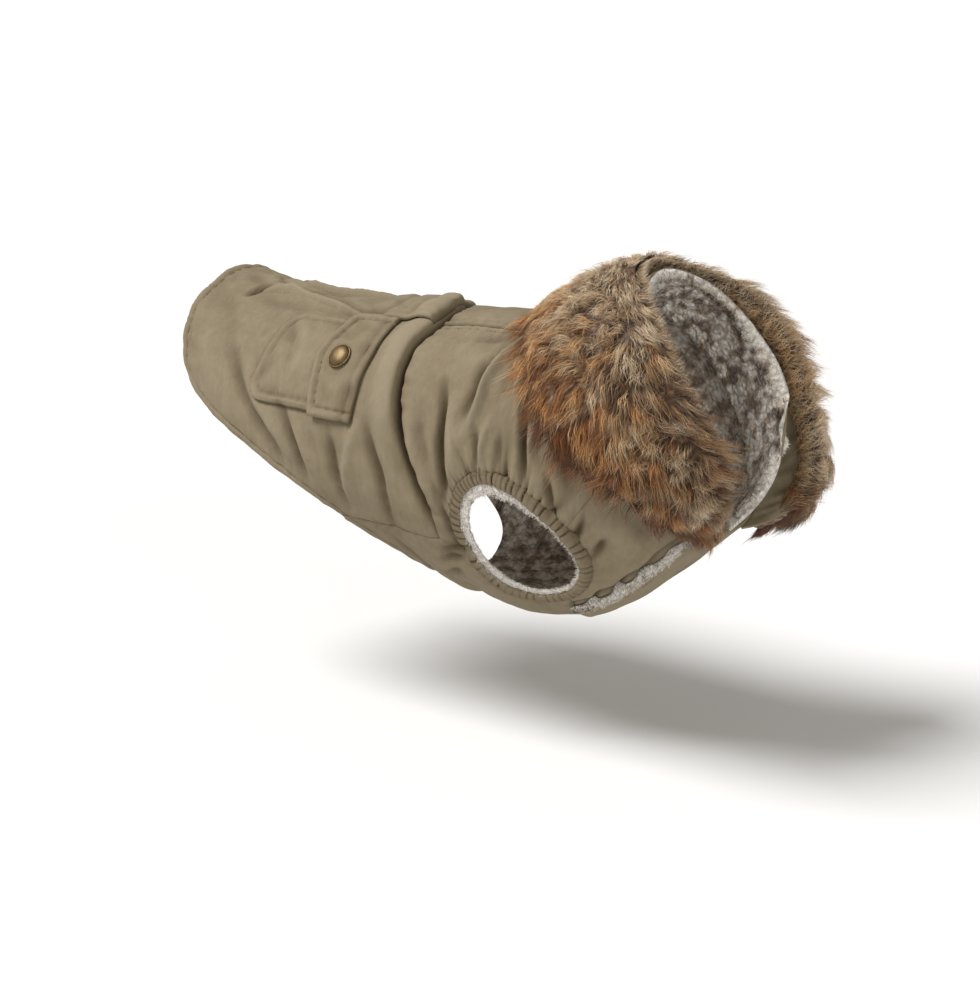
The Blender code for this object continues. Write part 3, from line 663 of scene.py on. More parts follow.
def allFolds(station, angle):
    # Every fold of the coat in millimetres, with its broad soft hollows, at any place of the form.
    station, angle = np.broadcast_arrays(np.asarray(station, float), np.asarray(angle, float))
    turn = wrapped(angle)
    high, middle, small = foldValues["broad"]
    broad = softField(np.stack([station, turn * degree], -1), 46, 3) * high
    broad += softField(np.stack([station, turn * degree], -1), 19, 4) * middle
    broad += softField(np.stack([station, turn * 0.6], -1), 9, 5) * small
    total = bigFolds(station, angle) + broad
    right = creaseHeight(station, np.where(turn < -150, turn + 360, turn))
    total += np.where((turn >= 0) | (turn < -150), right, 0)
    total += np.where((turn < 0) & (turn > -150), creaseHeight(station, turn, -1), 0)
    return total


def coatPoint(station, angle, out=0.0, height=None):
    # A place on the coat: the form, moved along its normal by the folds and by out, in millimetres.
    station, angle, out = np.broadcast_arrays(np.asarray(station, float), np.asarray(angle, float), out)
    if height is None:
        height = allFolds(station, angle)
    turn = wrapped(angle)
    behind = waistLine(np.minimum(np.abs(turn), 120)) - station
    far, along, around = foldValues["back"]
    station = station - far * np.exp(-((station + 28) / along) ** 2 - ((turn + 18) / around) ** 2)
    lean = bell(behind - 6.0, *foldValues["lean"]) * readTable(formValues["roll"], turn)
    return plainForm(station + lean, angle) + formNormal(station, angle) * ((height + out) * mm)[..., None]


# Meshes from grids of points.
def makeMesh(name, points, faces, material, maps=None, marks=None, kinds=None):
    # points is n by 3; faces is m by 3 or 4; maps and marks are values per point; kinds is a slot per face.
    points = np.ascontiguousarray(points.reshape(-1, 3), np.float32)
    faces = np.ascontiguousarray(faces, np.int32)
    a, b, c = (points[faces[:, k]].astype(float) for k in range(3))
    volume = (a * np.cross(b, c)).sum()
    if faces.shape[1] == 4:
        volume += (a * np.cross(c, points[faces[:, 3]].astype(float))).sum()
    if volume < 0:
        faces = np.ascontiguousarray(faces[:, ::-1])
    mesh = bpy.data.meshes.new(name)
    mesh.vertices.add(len(points))
    mesh.vertices.foreach_set("co", points.ravel())
    sides = faces.shape[1]
    mesh.loops.add(faces.size)
    mesh.loops.foreach_set("vertex_index", faces.ravel())
    mesh.polygons.add(len(faces))
    mesh.polygons.foreach_set("loop_start", np.arange(0, faces.size, sides, dtype=np.int32))
    mesh.polygons.foreach_set("loop_total", np.full(len(faces), sides, np.int32))
    for each in material if isinstance(material, (list, tuple)) else [material]:
        mesh.materials.append(each)
    if kinds is not None:
        mesh.polygons.foreach_set("material_index", np.ascontiguousarray(kinds, np.int32))
    for title, values in (maps or {}).items():
        layer = mesh.uv_layers.new(name=title)
        layer.data.foreach_set("uv", values.reshape(-1, 2)[faces.ravel()].astype(np.float32).ravel())
    marks = {"paintedFoldShading": np.full(len(points), 0.5), **(marks or {})}
    for title, values in marks.items():
        mark = mesh.attributes.new(title, "FLOAT", "POINT")
        mark.data.foreach_set("value", values.astype(np.float32).ravel())
    mesh.update(calc_edges=True)
    mesh.validate()
    mesh.shade_smooth()
    piece = bpy.data.objects.new(name, mesh)
    bpy.context.scene.collection.objects.link(piece)
    return piece


def gridFaces(rows, columns, ringRows=False, ringColumns=False):
    # Corner numbers of every cell of a grid; a ring joins its last line to its first.
    row = np.arange(rows if ringRows else rows - 1)[:, None]
    column = np.arange(columns if ringColumns else columns - 1)[None, :]
    nextRow, nextColumn = (row + 1) % rows, (column + 1) % columns
    corners = (row * columns + column, nextRow * columns + column,
               nextRow * columns + nextColumn, row * columns + nextColumn)
    return np.stack([np.broadcast_to(c, (row.size, column.size)) for c in corners], -1).reshape(-1, 4)


def makeWall(name, outer, inner, materials, flat, marks=None):
    # Two grids joined along their rims into one closed wall; the inner grid may wear its own cloth.
    rows, columns = outer.shape[:2]
    count = rows * columns
    number = np.arange(count).reshape(rows, columns)
    top = gridFaces(rows, columns)
    rim = np.concatenate([number[:-1, 0], number[-1, :-1], number[::-1, -1][:-1], number[0, ::-1]])
    pairs = np.stack([rim[:-1], rim[1:]], 1)
    faces = np.concatenate([top, top[:, ::-1] + count, np.concatenate([pairs[:, ::-1], pairs + count], 1)])
    kinds = np.concatenate([np.zeros(len(top)), np.ones(len(top)), np.zeros(len(pairs))])
    flat = np.concatenate([flat.reshape(-1, 2)] * 2)
    marks = {key: np.concatenate([value.ravel()] * 2) for key, value in (marks or {}).items()}
    points = np.concatenate([outer.reshape(-1, 3), inner.reshape(-1, 3)])
    kinds = kinds if len(materials) > 1 else None
    return makeMesh(name, points, faces, materials, {"clothMap": flat}, marks, kinds)


def clothMap(first, second):
    # A flat map from two grids in millimetres.
    return np.stack(np.broadcast_arrays(first, second), -1) * mm


# Millimetres from each kind of edge at which a grid's lines lie close, so that rolls and grooves keep
# their shape.
closeLines = dict(
    rolled=(0, .3, .8, 1.5, 2.4), seam=(0, .4, 1.0, 1.8), strip=(0, .3, .8, 1.5, 2.2, 3.0),
    hem=(0, .25, .7, 1.3, 2.1, 3.2, 4.2, 4.8, 5.4, 6.3, 7.6), waist=(0, .3, .8, 1.5, 2.4, 3.6, 5.0),
    flank=(0, .4, 1.0, 1.9, 2.8), flankTop=(0, .3, .8, 1.5, 2.3, 3.2, 4.2),
    arm=(0, .3, .7, 1.2, 1.9, 2.8, 3.9), bellyHem=(0, .3, .9, 1.8, 3.0, 4.2, 5.0, 5.8, 7.0),
    belt=(0, .3, .8, 1.5, 2.4, 3.4, 4.2), shoulder=(0, .3, .7, 1.3, 2.1, 3.1),
    lap=(0, .25, .6, 1.1, 1.8, 2.8, 3.6, 4.2, 4.9), root=(0, .5, 1.2), collar=(0, .25, .6, 1.1, 1.8),
    flap=(0, .25, .6, 1.1, 1.8, 2.8, 3.8, 4.6, 5.2, 5.8, 6.6), hood=(0, .3, .8, 1.5), fold=(0, .4, 1.0),
)


def spacing(length, step, near="rolled", far="rolled"):
    # Shares from 0 to 1 of a length in millimetres: even steps in the middle, close lines at both ends.
    near, far = np.array(closeLines[near]) / length, 1 - np.array(closeLines[far])[::-1] / length
    count = max(2, int(round((far[0] - near[-1]) * length / step)))
    return np.concatenate([near, np.linspace(near[-1], far[0], count + 1)[1:-1], far])


def edgeDistance(station, angle, line):
    # Millimetres in the cloth from every place to the nearest point of a line of stations and angles.
    line = np.array(line, float)
    way = lineWay(line)
    fine = np.arange(0, way[-1], 0.8)
    nearest = np.full(station.shape, 1e9)
    for spot in placesOn(line, way, fine):
        nearest = np.minimum(nearest, (station - spot[0]) ** 2 + ((angle - spot[1]) * degree) ** 2)
    return np.sqrt(nearest)


def lineWay(line):
    # Millimetres of cloth from a line's start to each of its points.
    steps = np.hypot(np.diff(line[:, 0]), np.diff(line[:, 1]) * degree)
    return np.concatenate([[0], np.cumsum(steps)])


def placesOn(line, way, spots):
    # The line's places at those millimetres from its start.
    return np.stack([np.interp(spots, way, line[:, k]) for k in (0, 1)], 1)


def seamRoll(distance, depth=1.3, reach=2.4):
    # The cloth rolls down into a seam: a quarter circle over the last millimetres.
    share = np.clip(1 - distance / reach, 0, 1)
    return -depth * (1 - np.sqrt(np.clip(1 - share**2, 0, 1)))


def stitchGroove(distance, at, depth=0.5, width=0.8):
    # A narrow bell downwards, in which a row of stitches lies.
    return -depth * np.exp(-((distance - at) / width) ** 2)


def puckers(along, distance, at, size, depth, reach, seed):
    # Small puckers across a stitched line: waves along it that fade away from it.
    drift = softField(along[..., None], size * 4, seed) * 1.6
    return depth * np.sin(2 * np.pi * along / size + drift) * np.exp(-((distance - at) / reach) ** 2)


def clothWall(name, station, angle, extra, low=None, lined=True):
    # A panel of the coat: the form's folds and the extra height on its outer face; the inner face lies the
    # cloth's thickness below, or at the height low.
    folds = allFolds(station, angle)
    outer = coatPoint(station, angle, extra, folds)
    inner = coatPoint(station, angle, (np.minimum(extra, 0) - cloth) if low is None else low, folds)
    mottle = 0.58 + 0.26 * softField(outer * 1000, 13, 21, 30) + 0.14 * softField(outer * 1000, 6, 22, 30)
    # Painted light and shade by height: paler on fold ridges and raised edges, darker in folds, seam rolls
    # and stitch grooves.
    small = np.clip(extra - np.median(extra), -2.2, 1.2)
    paintedFoldShading = np.clip(0.5 + folds / 9 + small / 6, 0, 1)
    worn = [looks["cloth"], looks["lining"]] if lined else [looks["cloth"]]
    marks = {"mottle": np.clip(mottle, 0, 1), "paintedFoldShading": paintedFoldShading}
    return makeWall(name, outer, inner, worn, clothMap(station, angle * degree), marks)


# The armhole: an oval with its middle's station and angle, half lengths in millimetres and its lean, read
# by corner numbers, 36 to the turn. rear, shoulder and chest are the corners where the seams start; then
# angles of the shoulder seam at the neck and of the two fronts' edges, station of the chest seam, number of
# small pleats and of long folds, depth of the gathers and the millimetres over which each kind fades.
armValues = dict(centre=(53.5, 115.5), long=43.5, short=30.0, lean=(0.52, 0.854), facets=36,
                 rear=25, shoulder=7, chest=-2, shoulderTop=102.0, lap=158.0, underlap=168.0,
                 chestSeam=58.0, pleats=60, folds=17, gather=2.0, fades=(6.5, 3.2, 15.0))
facets = armValues["facets"]


def bellyAngle(station):
    # The belly seam's angle: it draws in evenly from the hem forward.
    return np.interp(station, (-80, 20), (125, 115))


def seamEnd(edge):
    # Where an edge meets the belly seam: each station gives the angle that gives the next, until it settles.
    station = 0.0
    for _ in range(30):
        station = float(edge(bellyAngle(station)))
    return station


hemEnd, waistEnd = seamEnd(rearHem), seamEnd(waistLine)


def armOval(corner, grow=0.0):
    # Stations and angles on the leaning oval: a cosine along its long axis, a sine across it.
    turn = 2 * np.pi * np.asarray(corner, float) / facets
    along = (armValues["long"] + grow) * np.cos(turn)
    across = (armValues["short"] + grow) * np.sin(turn)
    lean, centre = armValues["lean"], armValues["centre"]
    return (centre[0] + along * lean[0] + across * lean[1],
            centre[1] + (along * lean[1] - across * lean[0]) / degree)


def armPlace(station, angle):
    # Millimetres outside the oval and the corner number round it, read back from a station and an angle.
    lean, centre = armValues["lean"], armValues["centre"]
    first, second = station - centre[0], (angle - centre[1]) * degree
    along, across = first * lean[0] + second * lean[1], first * lean[1] - second * lean[0]
    reach = np.maximum(np.hypot(along / armValues["long"], across / armValues["short"]), 1e-6)
    corner = np.arctan2(across / armValues["short"], along / armValues["long"]) * facets / (2 * np.pi)
    return (1 - 1 / reach) * np.hypot(along, across), corner


def armStrength(corner):
    # The elastic gathers most over the top of the armhole and least at its foot.
    return np.interp(np.mod(corner, facets), (0, 4, 7, 10, 22, 26, 31, 36), (.3, .35, .8, 1, 1, .6, .3, .3))


def pleatShare(corner, count, seed, sharp):
    # Narrow valleys round the oval: a bell of the sine of a drifting wave.
    corner36 = np.mod(corner, facets)
    drift = softField(corner36[..., None], 7.0, seed) * 1.1 * np.sin(np.pi * corner36 / facets)
    return np.exp(-(np.sin(np.pi * corner * count / facets + drift) / sharp) ** 2)


def armGathers(station, angle, seed):
    # Valleys of two sizes and long folds run out from the oval; each kind fades as e to the minus distance.
    distance, corner = armPlace(station, angle)
    out = np.clip(distance, 0, 60)
    near, close, far = (np.exp(-out / fade) for fade in armValues["fades"])
    uneven = 0.75 + 0.45 * softField(np.mod(corner, facets)[..., None], 2.3, seed + 9)
    valleys = pleatShare(corner, armValues["pleats"] / 2, seed, 0.45) * near * uneven
    valleys += 0.7 * pleatShare(corner, armValues["pleats"], seed, 0.34) * close
    folds = pleatShare(corner, armValues["folds"], seed + 5, 0.42) * far * uneven
    roll = seamRoll(out, 0.7, 1.8)
    return roll - armValues["gather"] * armStrength(corner) * (valleys + folds - 0.35 * near)


# Depth of the roll into each seam and the millimetres over which it rolls, and the hem's stitched width.
seamValues = dict(hem=(1.3, 2.2), front=(1.5, 2.6), waist=(1.4, 2.6), belly=(1.0, 2.0), strip=(1.0, 1.8),
                  shoulder=(0.9, 1.8), lap=(1.3, 2.0), hemWidth=5.0)


def hemFold(toHem, swell):
    # The turned hem: a roll at its edge, half a sine of swell, and the groove of its stitches.
    width = seamValues["hemWidth"]
    swelling = swell * np.sin(np.pi * np.clip(toHem / width, 0, 1))
    return seamRoll(toHem, *seamValues["hem"]) + swelling + stitchGroove(toHem, width)


def makeBackSkirt():
    # Rows run from hem to waist, columns from one belly seam over the back to the other: straight lines in
    # station and angle between the hem's curve and the waist's.
    rows = spacing(185, 1.9, "hem", "waist")
    lower = bellyAngle(hemEnd + (waistEnd - hemEnd) * rows)[:, None] - halfTurn
    flank = strip + (lower - strip) * spacing(128, 1.9)[1:]
    middle = np.broadcast_to(np.linspace(-strip, strip, 46), (len(rows), 46))
    angle = np.concatenate([-flank[:, ::-1], middle, flank], 1)
    hem, front = rearHem(angle[0]), waistLine(angle[-1]) - half
    station = hem + (front - hem) * rows[:, None]
    turns = np.linspace(-126, 126, 500)
    toHem = edgeDistance(station, angle, np.stack([rearHem(turns), turns], 1))
    extra = hemFold(toHem, 0.4)
    extra += puckers(angle * degree + station * 0.7, toHem, 4.0, 9.0, 0.28, 4.0, 31)
    toSeam = (lower - np.abs(angle)) * degree
    extra += (seamRoll(np.clip(front - station, 0, 90), *seamValues["front"])
              + seamRoll(toSeam, *seamValues["belly"]))
    extra += tuckRidge(station, angle)
    for side in (1, -1):
        # Each pocket's edge presses a line into the cloth under it.
        outline = pocketGrid()[2]
        outline = np.concatenate([[[-70, outline[0, 1]]], outline, [[-70, outline[-1, 1]]]])
        extra -= bell(edgeDistance(station, side * angle, outline) - 0.4, 0.8, 1.6)
    return clothWall("backSkirt", station, angle, extra)


def tuckLine(station):
    # Where the two stitched tucks of the skirt lie, in degrees from the spine.
    return np.interp(station, (-180, -168, -158, -140, -121, -88, -60), (15, 10, 7, 9, 13, 19.5, 20))


def tuckRidge(station, angle):
    # A pressed ridge with a stitched valley on each side, three bells that fade out towards hem and waist.
    away = (np.abs(angle) - tuckLine(station)) * degree
    length = np.interp(station, (-180, -168, -70, -58), (0, 1, 1, 0))
    return length * (bell(away, 1.5, 2.0) - bell(away + 3.2, 1.5, 1.6) - bell(away - 3.4, 0.7, 1.1))


def makeCentreStrip():
    # Rows from the waist's curve to the neck, columns straight along the back between the strip's two seams.
    edge = strip - halfTurn
    columns = -edge + 2 * edge * spacing(2 * edge * degree, 1.6, "strip", "strip")
    rear = waistLine(columns) + half
    station = rear + (neck - rear) * spacing(150, 1.7)[:, None]
    angle = np.broadcast_to(columns, station.shape)
    side = (edge - np.abs(angle)) * degree
    extra = (seamRoll(side, *seamValues["strip"]) + bell(side - 2.0, 0.5, 1.4)
             + stitchGroove(side, 3.6, 0.45, 0.7))
    extra += 1.5 * (1 - np.exp(-side / 4)) * np.clip((station - rear) / 6, 0, 1)
    extra += seamRoll(station - rear, *seamValues["waist"])
    extra += puckers(angle * degree, station - rear, 3.0, 7.0, 0.45, 6.0, 33)
    extra += puckers(station, side, 3.0, 8.0, 0.22, 2.5, 34)
    return clothWall("centreBackStrip", station, angle, extra)


# Corners along each panel's lower edge. Side body: 0 to 2 belly seam, to 20 round the armhole, to 24 shoulder
# seam. Belly: 0 to 12 skirt seam, to 14 straight, to 23 armhole. Chest: 0 to 9 armhole, to 13 shoulder seam.
sideCount, bellyCount, chestCount = 24, 23, 13


def sideEdge(index):
    # The side body's lower edge by corner number: a straight seam, the oval backwards, a straight seam.
    armCorner = armValues["rear"] - np.clip(index - 2, 0, 18)
    station, angle = armOval(armCorner, half)
    start, end = armOval(armValues["rear"], half), armOval(armValues["shoulder"], half)
    seam = np.clip(index / 2, 0, 1)
    seamStation = waistEnd + (start[0] - waistEnd) * seam
    seamTurn = bellyAngle(seamStation) - halfTurn
    seamTurn = seamTurn + (start[1] - seamTurn) * np.clip(seam * 4 - 3, 0, 1)
    top = np.clip((index - 20) / 4, 0, 1)
    lineStation = end[0] + (neck - end[0]) * top
    lineAngle = end[1] + (armValues["shoulderTop"] - end[1]) * top - halfTurn * 1.3
    station = np.where(index < 2, seamStation, np.where(index > 20, lineStation, station))
    return station, np.where(index < 2, seamTurn, np.where(index > 20, lineAngle, angle))


def makeSideBody(name, side, seed):
    # Straight lines in station and angle from the strip's seam down to the lower edge, one for each of its
    # places; near the waist their stations bend to the waist's curve.
    index = sideCount * spacing(165, 0.95, "flank", "seam")
    lowStation, lowAngle = sideEdge(index)
    top = strip + halfTurn
    topStation = waistLine(top) + (neck - waistLine(top)) * index / sideCount
    t = spacing(105, 1.8, "flankTop", "arm")
    angle = top + (lowAngle - top)[:, None] * t
    station = topStation[:, None] + (lowStation - topStation)[:, None] * t
    line = waistLine(angle[0]) + half
    station = station + (line - station[0]) * (np.clip(1 - index / 8, 0, 1)[:, None] ** 2)
    toTop = (angle - top) * degree
    toWaist = np.clip(station - waistLine(angle), 0, 90)
    toShoulder = edgeDistance(station, angle, np.stack(sideEdge(np.linspace(20, 24, 60)), 1))
    toBelly = edgeDistance(station, angle, np.stack(sideEdge(np.linspace(0, 2, 30)), 1))
    extra = (seamRoll(toTop, *seamValues["strip"]) + bell(toTop - 1.8, 0.35, 1.2)
             + stitchGroove(toTop, 3.2, 0.3, 0.7))
    extra += (seamRoll(toWaist, *seamValues["waist"]) + seamRoll(toShoulder, *seamValues["shoulder"])
              + seamRoll(toBelly, *seamValues["belly"]))
    extra += armGathers(station, angle, 41 + seed)
    extra += puckers(angle * degree, toWaist, 4.0, 9.5, 0.35, 7.0, 36 + seed)
    extra += puckers(station, toTop, 2.0, 8.5, 0.2, 4.0, 37 + seed)
    extra += puckers(station + angle, toShoulder, 1.0, 7.0, 0.25, 3.5, 38)
    return clothWall(name, station, side * angle, extra)


def bellyEdge(index):
    # The belly panel's edge by corner number: skirt seam, a short straight, round the armhole's foot.
    share = 1 - (1 - np.clip(index / 12, 0, 1)) ** 1.35
    skirt = hemEnd + (waistEnd - hemEnd) * share
    start = armOval(armValues["rear"], half)
    rest = waistEnd + (start[0] - waistEnd) * np.clip((index - 12) / 2, 0, 1)
    station = np.where(index <= 12, skirt, rest)
    angle = bellyAngle(station) + halfTurn
    armStation, armAngle = armOval(armValues["rear"] + np.clip(index - 14, 0, 9), half)
    angle = angle + (start[1] - angle) * np.clip(index - 13, 0, 1) * (index < 14)
    return np.where(index > 14, armStation, station), np.where(index > 14, armAngle, angle)


def makeBelly():
    # Rows from hem to chest seam, columns under the belly from edge to edge: the edge's station, raised to
    # the hem's curve at the rear and by half a sine to the chest seam in front.
    index = bellyCount * spacing(125, 1.7, "bellyHem", "seam")
    edgeStation, edgeAngle = bellyEdge(index)
    across = spacing(150, 2.0)
    angle = edgeAngle[:, None] + (360 - 2 * edgeAngle)[:, None] * across
    fold = 180 - np.abs(angle - 180)
    rise = rearHem(fold) - rearHem(edgeAngle)[:, None]
    fade = np.clip(1 - (1 - (1 - np.clip(index / 12, 0, 1)) ** 1.35), 0, 1)[:, None]
    front = (armValues["chestSeam"] - 2 * half - edgeStation[-1]) * np.sin(np.pi * across)
    station = edgeStation[:, None] + rise * fade + front * (index / bellyCount)[:, None] ** 3
    turns = np.linspace(edgeAngle[0], 180, 200)
    toHem = edgeDistance(station, fold, np.stack([rearHem(turns), turns], 1))
    toSeam = edgeDistance(station, fold, np.stack(bellyEdge(np.linspace(0, 14, 90)), 1))
    extra = hemFold(toHem, 0.35)
    extra += (seamRoll(toSeam, *seamValues["belly"])
              + puckers(station * 0.8 + fold, toSeam, 1.0, 8.0, 0.3, 5.0, 44))
    extra += puckers(fold * degree, toHem, 4.0, 9.0, 0.25, 4.0, 45)
    extra += (np.where(station > -12, armGathers(station, fold, 47) * 0.8, 0)
              + seamRoll(np.clip(station[-1] - station, 0, 90), *seamValues["belly"]))
    return clothWall("bellyPanel", station, angle, extra)


def chestEdge(index):
    # The chest front's edge by corner number: the oval from its foot forward, then a straight shoulder seam.
    armStation, armAngle = armOval(armValues["chest"] + np.clip(index, 0, 9), half)
    end = armOval(armValues["shoulder"], half)
    top = np.clip((index - 9) / 4, 0, 1)
    station = end[0] + (neck - end[0]) * top
    angle = end[1] + (armValues["shoulderTop"] - end[1]) * top + halfTurn * 1.3
    return np.where(index > 9, station, armStation), np.where(index > 9, angle, armAngle)


def lapLift(angle):
    # The left front rises over the right one, which lies under its free edge: a soft step past the middle.
    past = np.clip((np.abs(angle) - 181) / 9, 0, 1)
    return (cloth + 2 * gap) * past**2 * (3 - 2 * past)


def makeChest(name, side, free, seed):
    # Straight lines in station and angle from the armhole and shoulder seam across to the free edge; at the
    # foot they bend by part of a sine to the chest seam.
    index = chestCount * spacing(105, 1.6, "seam", "seam")
    edgeStation, edgeAngle = chestEdge(index)
    share = index / chestCount
    seamStation = armValues["chestSeam"] + half
    freeStation = seamStation + (neck - seamStation) * share
    across = spacing(90, 1.6, "shoulder", "lap")
    angle = side * edgeAngle[:, None] + (free - side * edgeAngle)[:, None] * across
    station = edgeStation[:, None] + (freeStation - edgeStation)[:, None] * across
    start = edgeAngle[0]
    turned = 180 - np.abs(180 - np.abs(angle[0])) - start
    foot = edgeStation[0] + (seamStation - edgeStation[0]) * np.sin(np.pi * turned / (360 - 2 * start))
    station = station + (foot - station[0]) * (1 - share[:, None]) ** 3
    toFree = np.abs(free - angle) * degree
    fold = np.abs(angle)
    toShoulder = edgeDistance(station, fold, np.stack(chestEdge(np.linspace(9, 13, 60)), 1))
    extra = (seamRoll(toFree, *seamValues["lap"]) + 0.35 * np.sin(np.pi * np.clip(toFree / 4, 0, 1))
             + stitchGroove(toFree, 4.2, 0.4, 0.7))
    extra += puckers(station, toFree, 3.0, 9.0, 0.35, 5.0, 51 + seed)
    extra += seamRoll(toShoulder, *seamValues["shoulder"])
    extra += puckers(station + fold, toShoulder, 1.0, 7.0, 0.25, 3.5, 52)
    extra += np.where(fold < 160, armGathers(station, fold, 53 + seed) * 0.7, 0)
    extra += seamRoll(np.clip(station - foot, 0, 90), *seamValues["shoulder"])
    lift = lapLift(angle)
    return clothWall(name, station, angle, extra + lift, low=lift - cloth)


# Casings of the armholes: a closed tube of cloth, gathered by the elastic inside it.
casingValues = dict(middle=2.8, halfWidth=3.2, centreHeight=-0.5, halfHeight=1.9, pleatDepth=1.5,
                    around=440, section=14)


def ringGrid(values):
    # Corner numbers round the armhole, one to a row, and turns round a tube's section, one to a column.
    corner = (np.arange(values["around"]) * facets / values["around"])[:, None]
    return corner, (np.arange(values["section"]) * 2 * np.pi / values["section"])[None, :]


def makeCasing(name, side, seed):
    # An oval section carried round the armhole, a cosine across it and a sine in height; each pleat sinks its
    # outer half.
    values = casingValues
    corner, turn = ringGrid(values)
    uneven = np.clip(0.7 + 0.5 * softField(corner, 1.9, 50 + seed), 0.1, 1.5)[:, None]
    drawn = 0.25 + 0.75 * armStrength(corner)
    valley = pleatShare(corner, armValues["pleats"], 41 + seed, 0.34) * drawn * uneven
    ring = np.concatenate([np.cos(corner / facets * 2 * np.pi), np.sin(corner / facets * 2 * np.pi)], 1)
    wobble = softField(ring * 40, 9, 61 + seed)
    inward = values["middle"] - values["halfWidth"] * np.cos(turn) + 0.25 * wobble[:, None] * (turn < np.pi)
    inward = inward - 0.3 * valley * np.clip(-np.cos(turn), 0, 1)
    height = values["centreHeight"] + values["halfHeight"] * np.sin(turn) * (1 + 0.1 * wobble[:, None])
    height = height - values["pleatDepth"] * valley * np.clip(np.sin(turn) + 0.35, 0, 1) ** 0.6
    station, angle = armOval(corner, -inward)
    points = coatPoint(station, side * angle, height)
    faces = gridFaces(values["around"], values["section"], True, True)
    # Painted shade: the casing is painted darker than plain cloth, darkest in its pleat valleys and along the
    # outer side of its tube.
    paintedFoldShading = np.clip(0.36 - 0.75 * valley - 0.16 * np.cos(turn), 0, 1)
    return makeMesh(name, points, faces, looks["cloth"], {"clothMap": clothMap(corner * 6.5, turn * 3.0)},
                    {"paintedFoldShading": paintedFoldShading})


# Pockets, flaps and belt: stations and angles of their edges, then millimetres of cloth.
pocketValues = dict(rear=-141.0, front=-64.0, top=26.0, bottom=74.0, corner=13.0, slant=6.0, hidden=5.0,
                    stitches=(5.0, 1.6), puff=1.3)
flapValues = dict(rear=-86.0, front=-54.0, top=22.0, bottom=76.0, point=7.0, border=5.2)
flapRise = thin + 3 * gap
beltValues = dict(rear=-84.0, halfAngle=22.0, rise=0.8, puff=2.0)


def pocketGrid():
    # A rectangle in station and angle: columns close up towards both sides as a sine, and the rear edge
    # slants and has corners of a quarter circle. The front edge lies hidden under the flap.
    values = pocketValues
    middle, half2 = (values["top"] + values["bottom"]) / 2, (values["bottom"] - values["top"]) / 2
    columns = middle + half2 * np.sin(np.pi / 2 * np.linspace(-1, 1, 46))
    inside = np.clip(values["corner"] - (half2 - np.abs(columns - middle)) * degree, 0, values["corner"])
    rounding = values["corner"] - np.sqrt(np.clip(values["corner"]**2 - inside**2, 0, None))
    rear = values["rear"] + values["slant"] * (values["bottom"] - columns) / (2 * half2) + rounding
    station = rear + (values["front"] - values["hidden"] - rear) * spacing(72, 1.8)[:, None]
    return station, np.broadcast_to(columns, station.shape), np.stack([rear, columns], 1)


def makePocket(name, side, seed):
    # On that grid the height is the cloth's own, a roll and half a sine at the edge, two grooves and a puff.
    station, angle, rearEdge = pocketGrid()
    front = pocketValues["front"] - pocketValues["hidden"]
    top, bottom = [[front, pocketValues["top"]]], [[front, pocketValues["bottom"]]]
    toEdge = edgeDistance(station, angle, np.concatenate([top, rearEdge, bottom]))
    extra = gap + thin + seamRoll(toEdge, 1.5, 1.8) + 0.8 * np.sin(np.pi * np.clip(toEdge / 5, 0, 1))
    wide, narrow = pocketValues["stitches"]
    extra += stitchGroove(toEdge, wide, 1.1, 0.9) + stitchGroove(toEdge, narrow, 0.35, 0.6)
    soft = softField(np.stack([station, angle * degree], -1), 22, 71 + seed)
    extra += 0.45 * soft * np.clip((toEdge - 4) / 8, 0, 1)
    extra += puckers(station + angle, toEdge, 5.0, 8.0, 0.2, 3.0, 72 + seed)
    extra += pocketValues["puff"] * np.clip((toEdge - 6) / 14, 0, 1)
    return clothWall(name, station, side * angle, extra, np.full(station.shape, gap - 0.2), False)


def flapBase(station):
    # The flap lies on the pocket's front edge and steps down to the skirt before its own seam.
    return np.interp(station, (-66, -60), (flapRise, 4 * gap))


def flapRear(angle, low):
    # The free edge's station: a shallow point at its middle, straight to both sides.
    values = flapValues
    middle = (low + values["bottom"]) / 2
    return values["rear"] - values["point"] * (1 - np.abs(angle - middle) / (values["bottom"] - middle))


def makeFlap(name, side, seed):
    # Rows from the pointed free edge forward to the seam, columns down the side; the height is a border of
    # half a sine inside a stitched groove, with a soft field and puckers on it.
    values = flapValues
    low, high = values["top"] + halfTurn, values["bottom"]
    columns = low + (high - low) * spacing(67, 1.4, "flap", "flap")
    rear = flapRear(columns, values["top"])
    station = rear + (values["front"] - rear) * spacing(35, 1.4, "flap", "rolled")[:, None]
    angle = np.broadcast_to(columns, station.shape)
    edge = np.concatenate([[[values["front"], low]], np.stack([rear, columns], 1), [[values["front"], high]]])
    toEdge = edgeDistance(station, angle, edge)
    toFront = values["front"] - station
    border = np.clip(toEdge / values["border"], 0, 1)
    extra = seamRoll(toEdge, 1.5, 1.9) + 0.8 * np.sin(np.pi * border) ** 0.8
    extra += stitchGroove(toEdge, values["border"], 0.9, 0.8)
    extra += puckers(station + angle * degree, toEdge, 4.0, 6.5, 0.22, 3.0, 75 + seed)
    soft = softField(np.stack([station, angle * degree], -1), 16, 76 + seed)
    extra += 0.55 * soft * np.clip((toEdge - 5) / 5, 0, 1)
    extra += (bell(toFront - 3.0, 0.5, 2.0) + stitchGroove(toFront, 6.0, 0.4, 0.8)
              + seamRoll(toFront, 1.2, 2.0))
    # The free edge stands a little off the pocket and dips under the snap.
    snapAway = np.hypot(station - snapValues["station"], (angle - snapValues["angle"]) * degree)
    extra += bell(toEdge - 1.0, 0.5, 3.0) * np.interp(station, (-80, -66), (1, 0)) - bell(snapAway, 0.5, 9)
    base = flapBase(station)
    return clothWall(name, station, side * angle, base + thin + extra, base - 0.2, False)


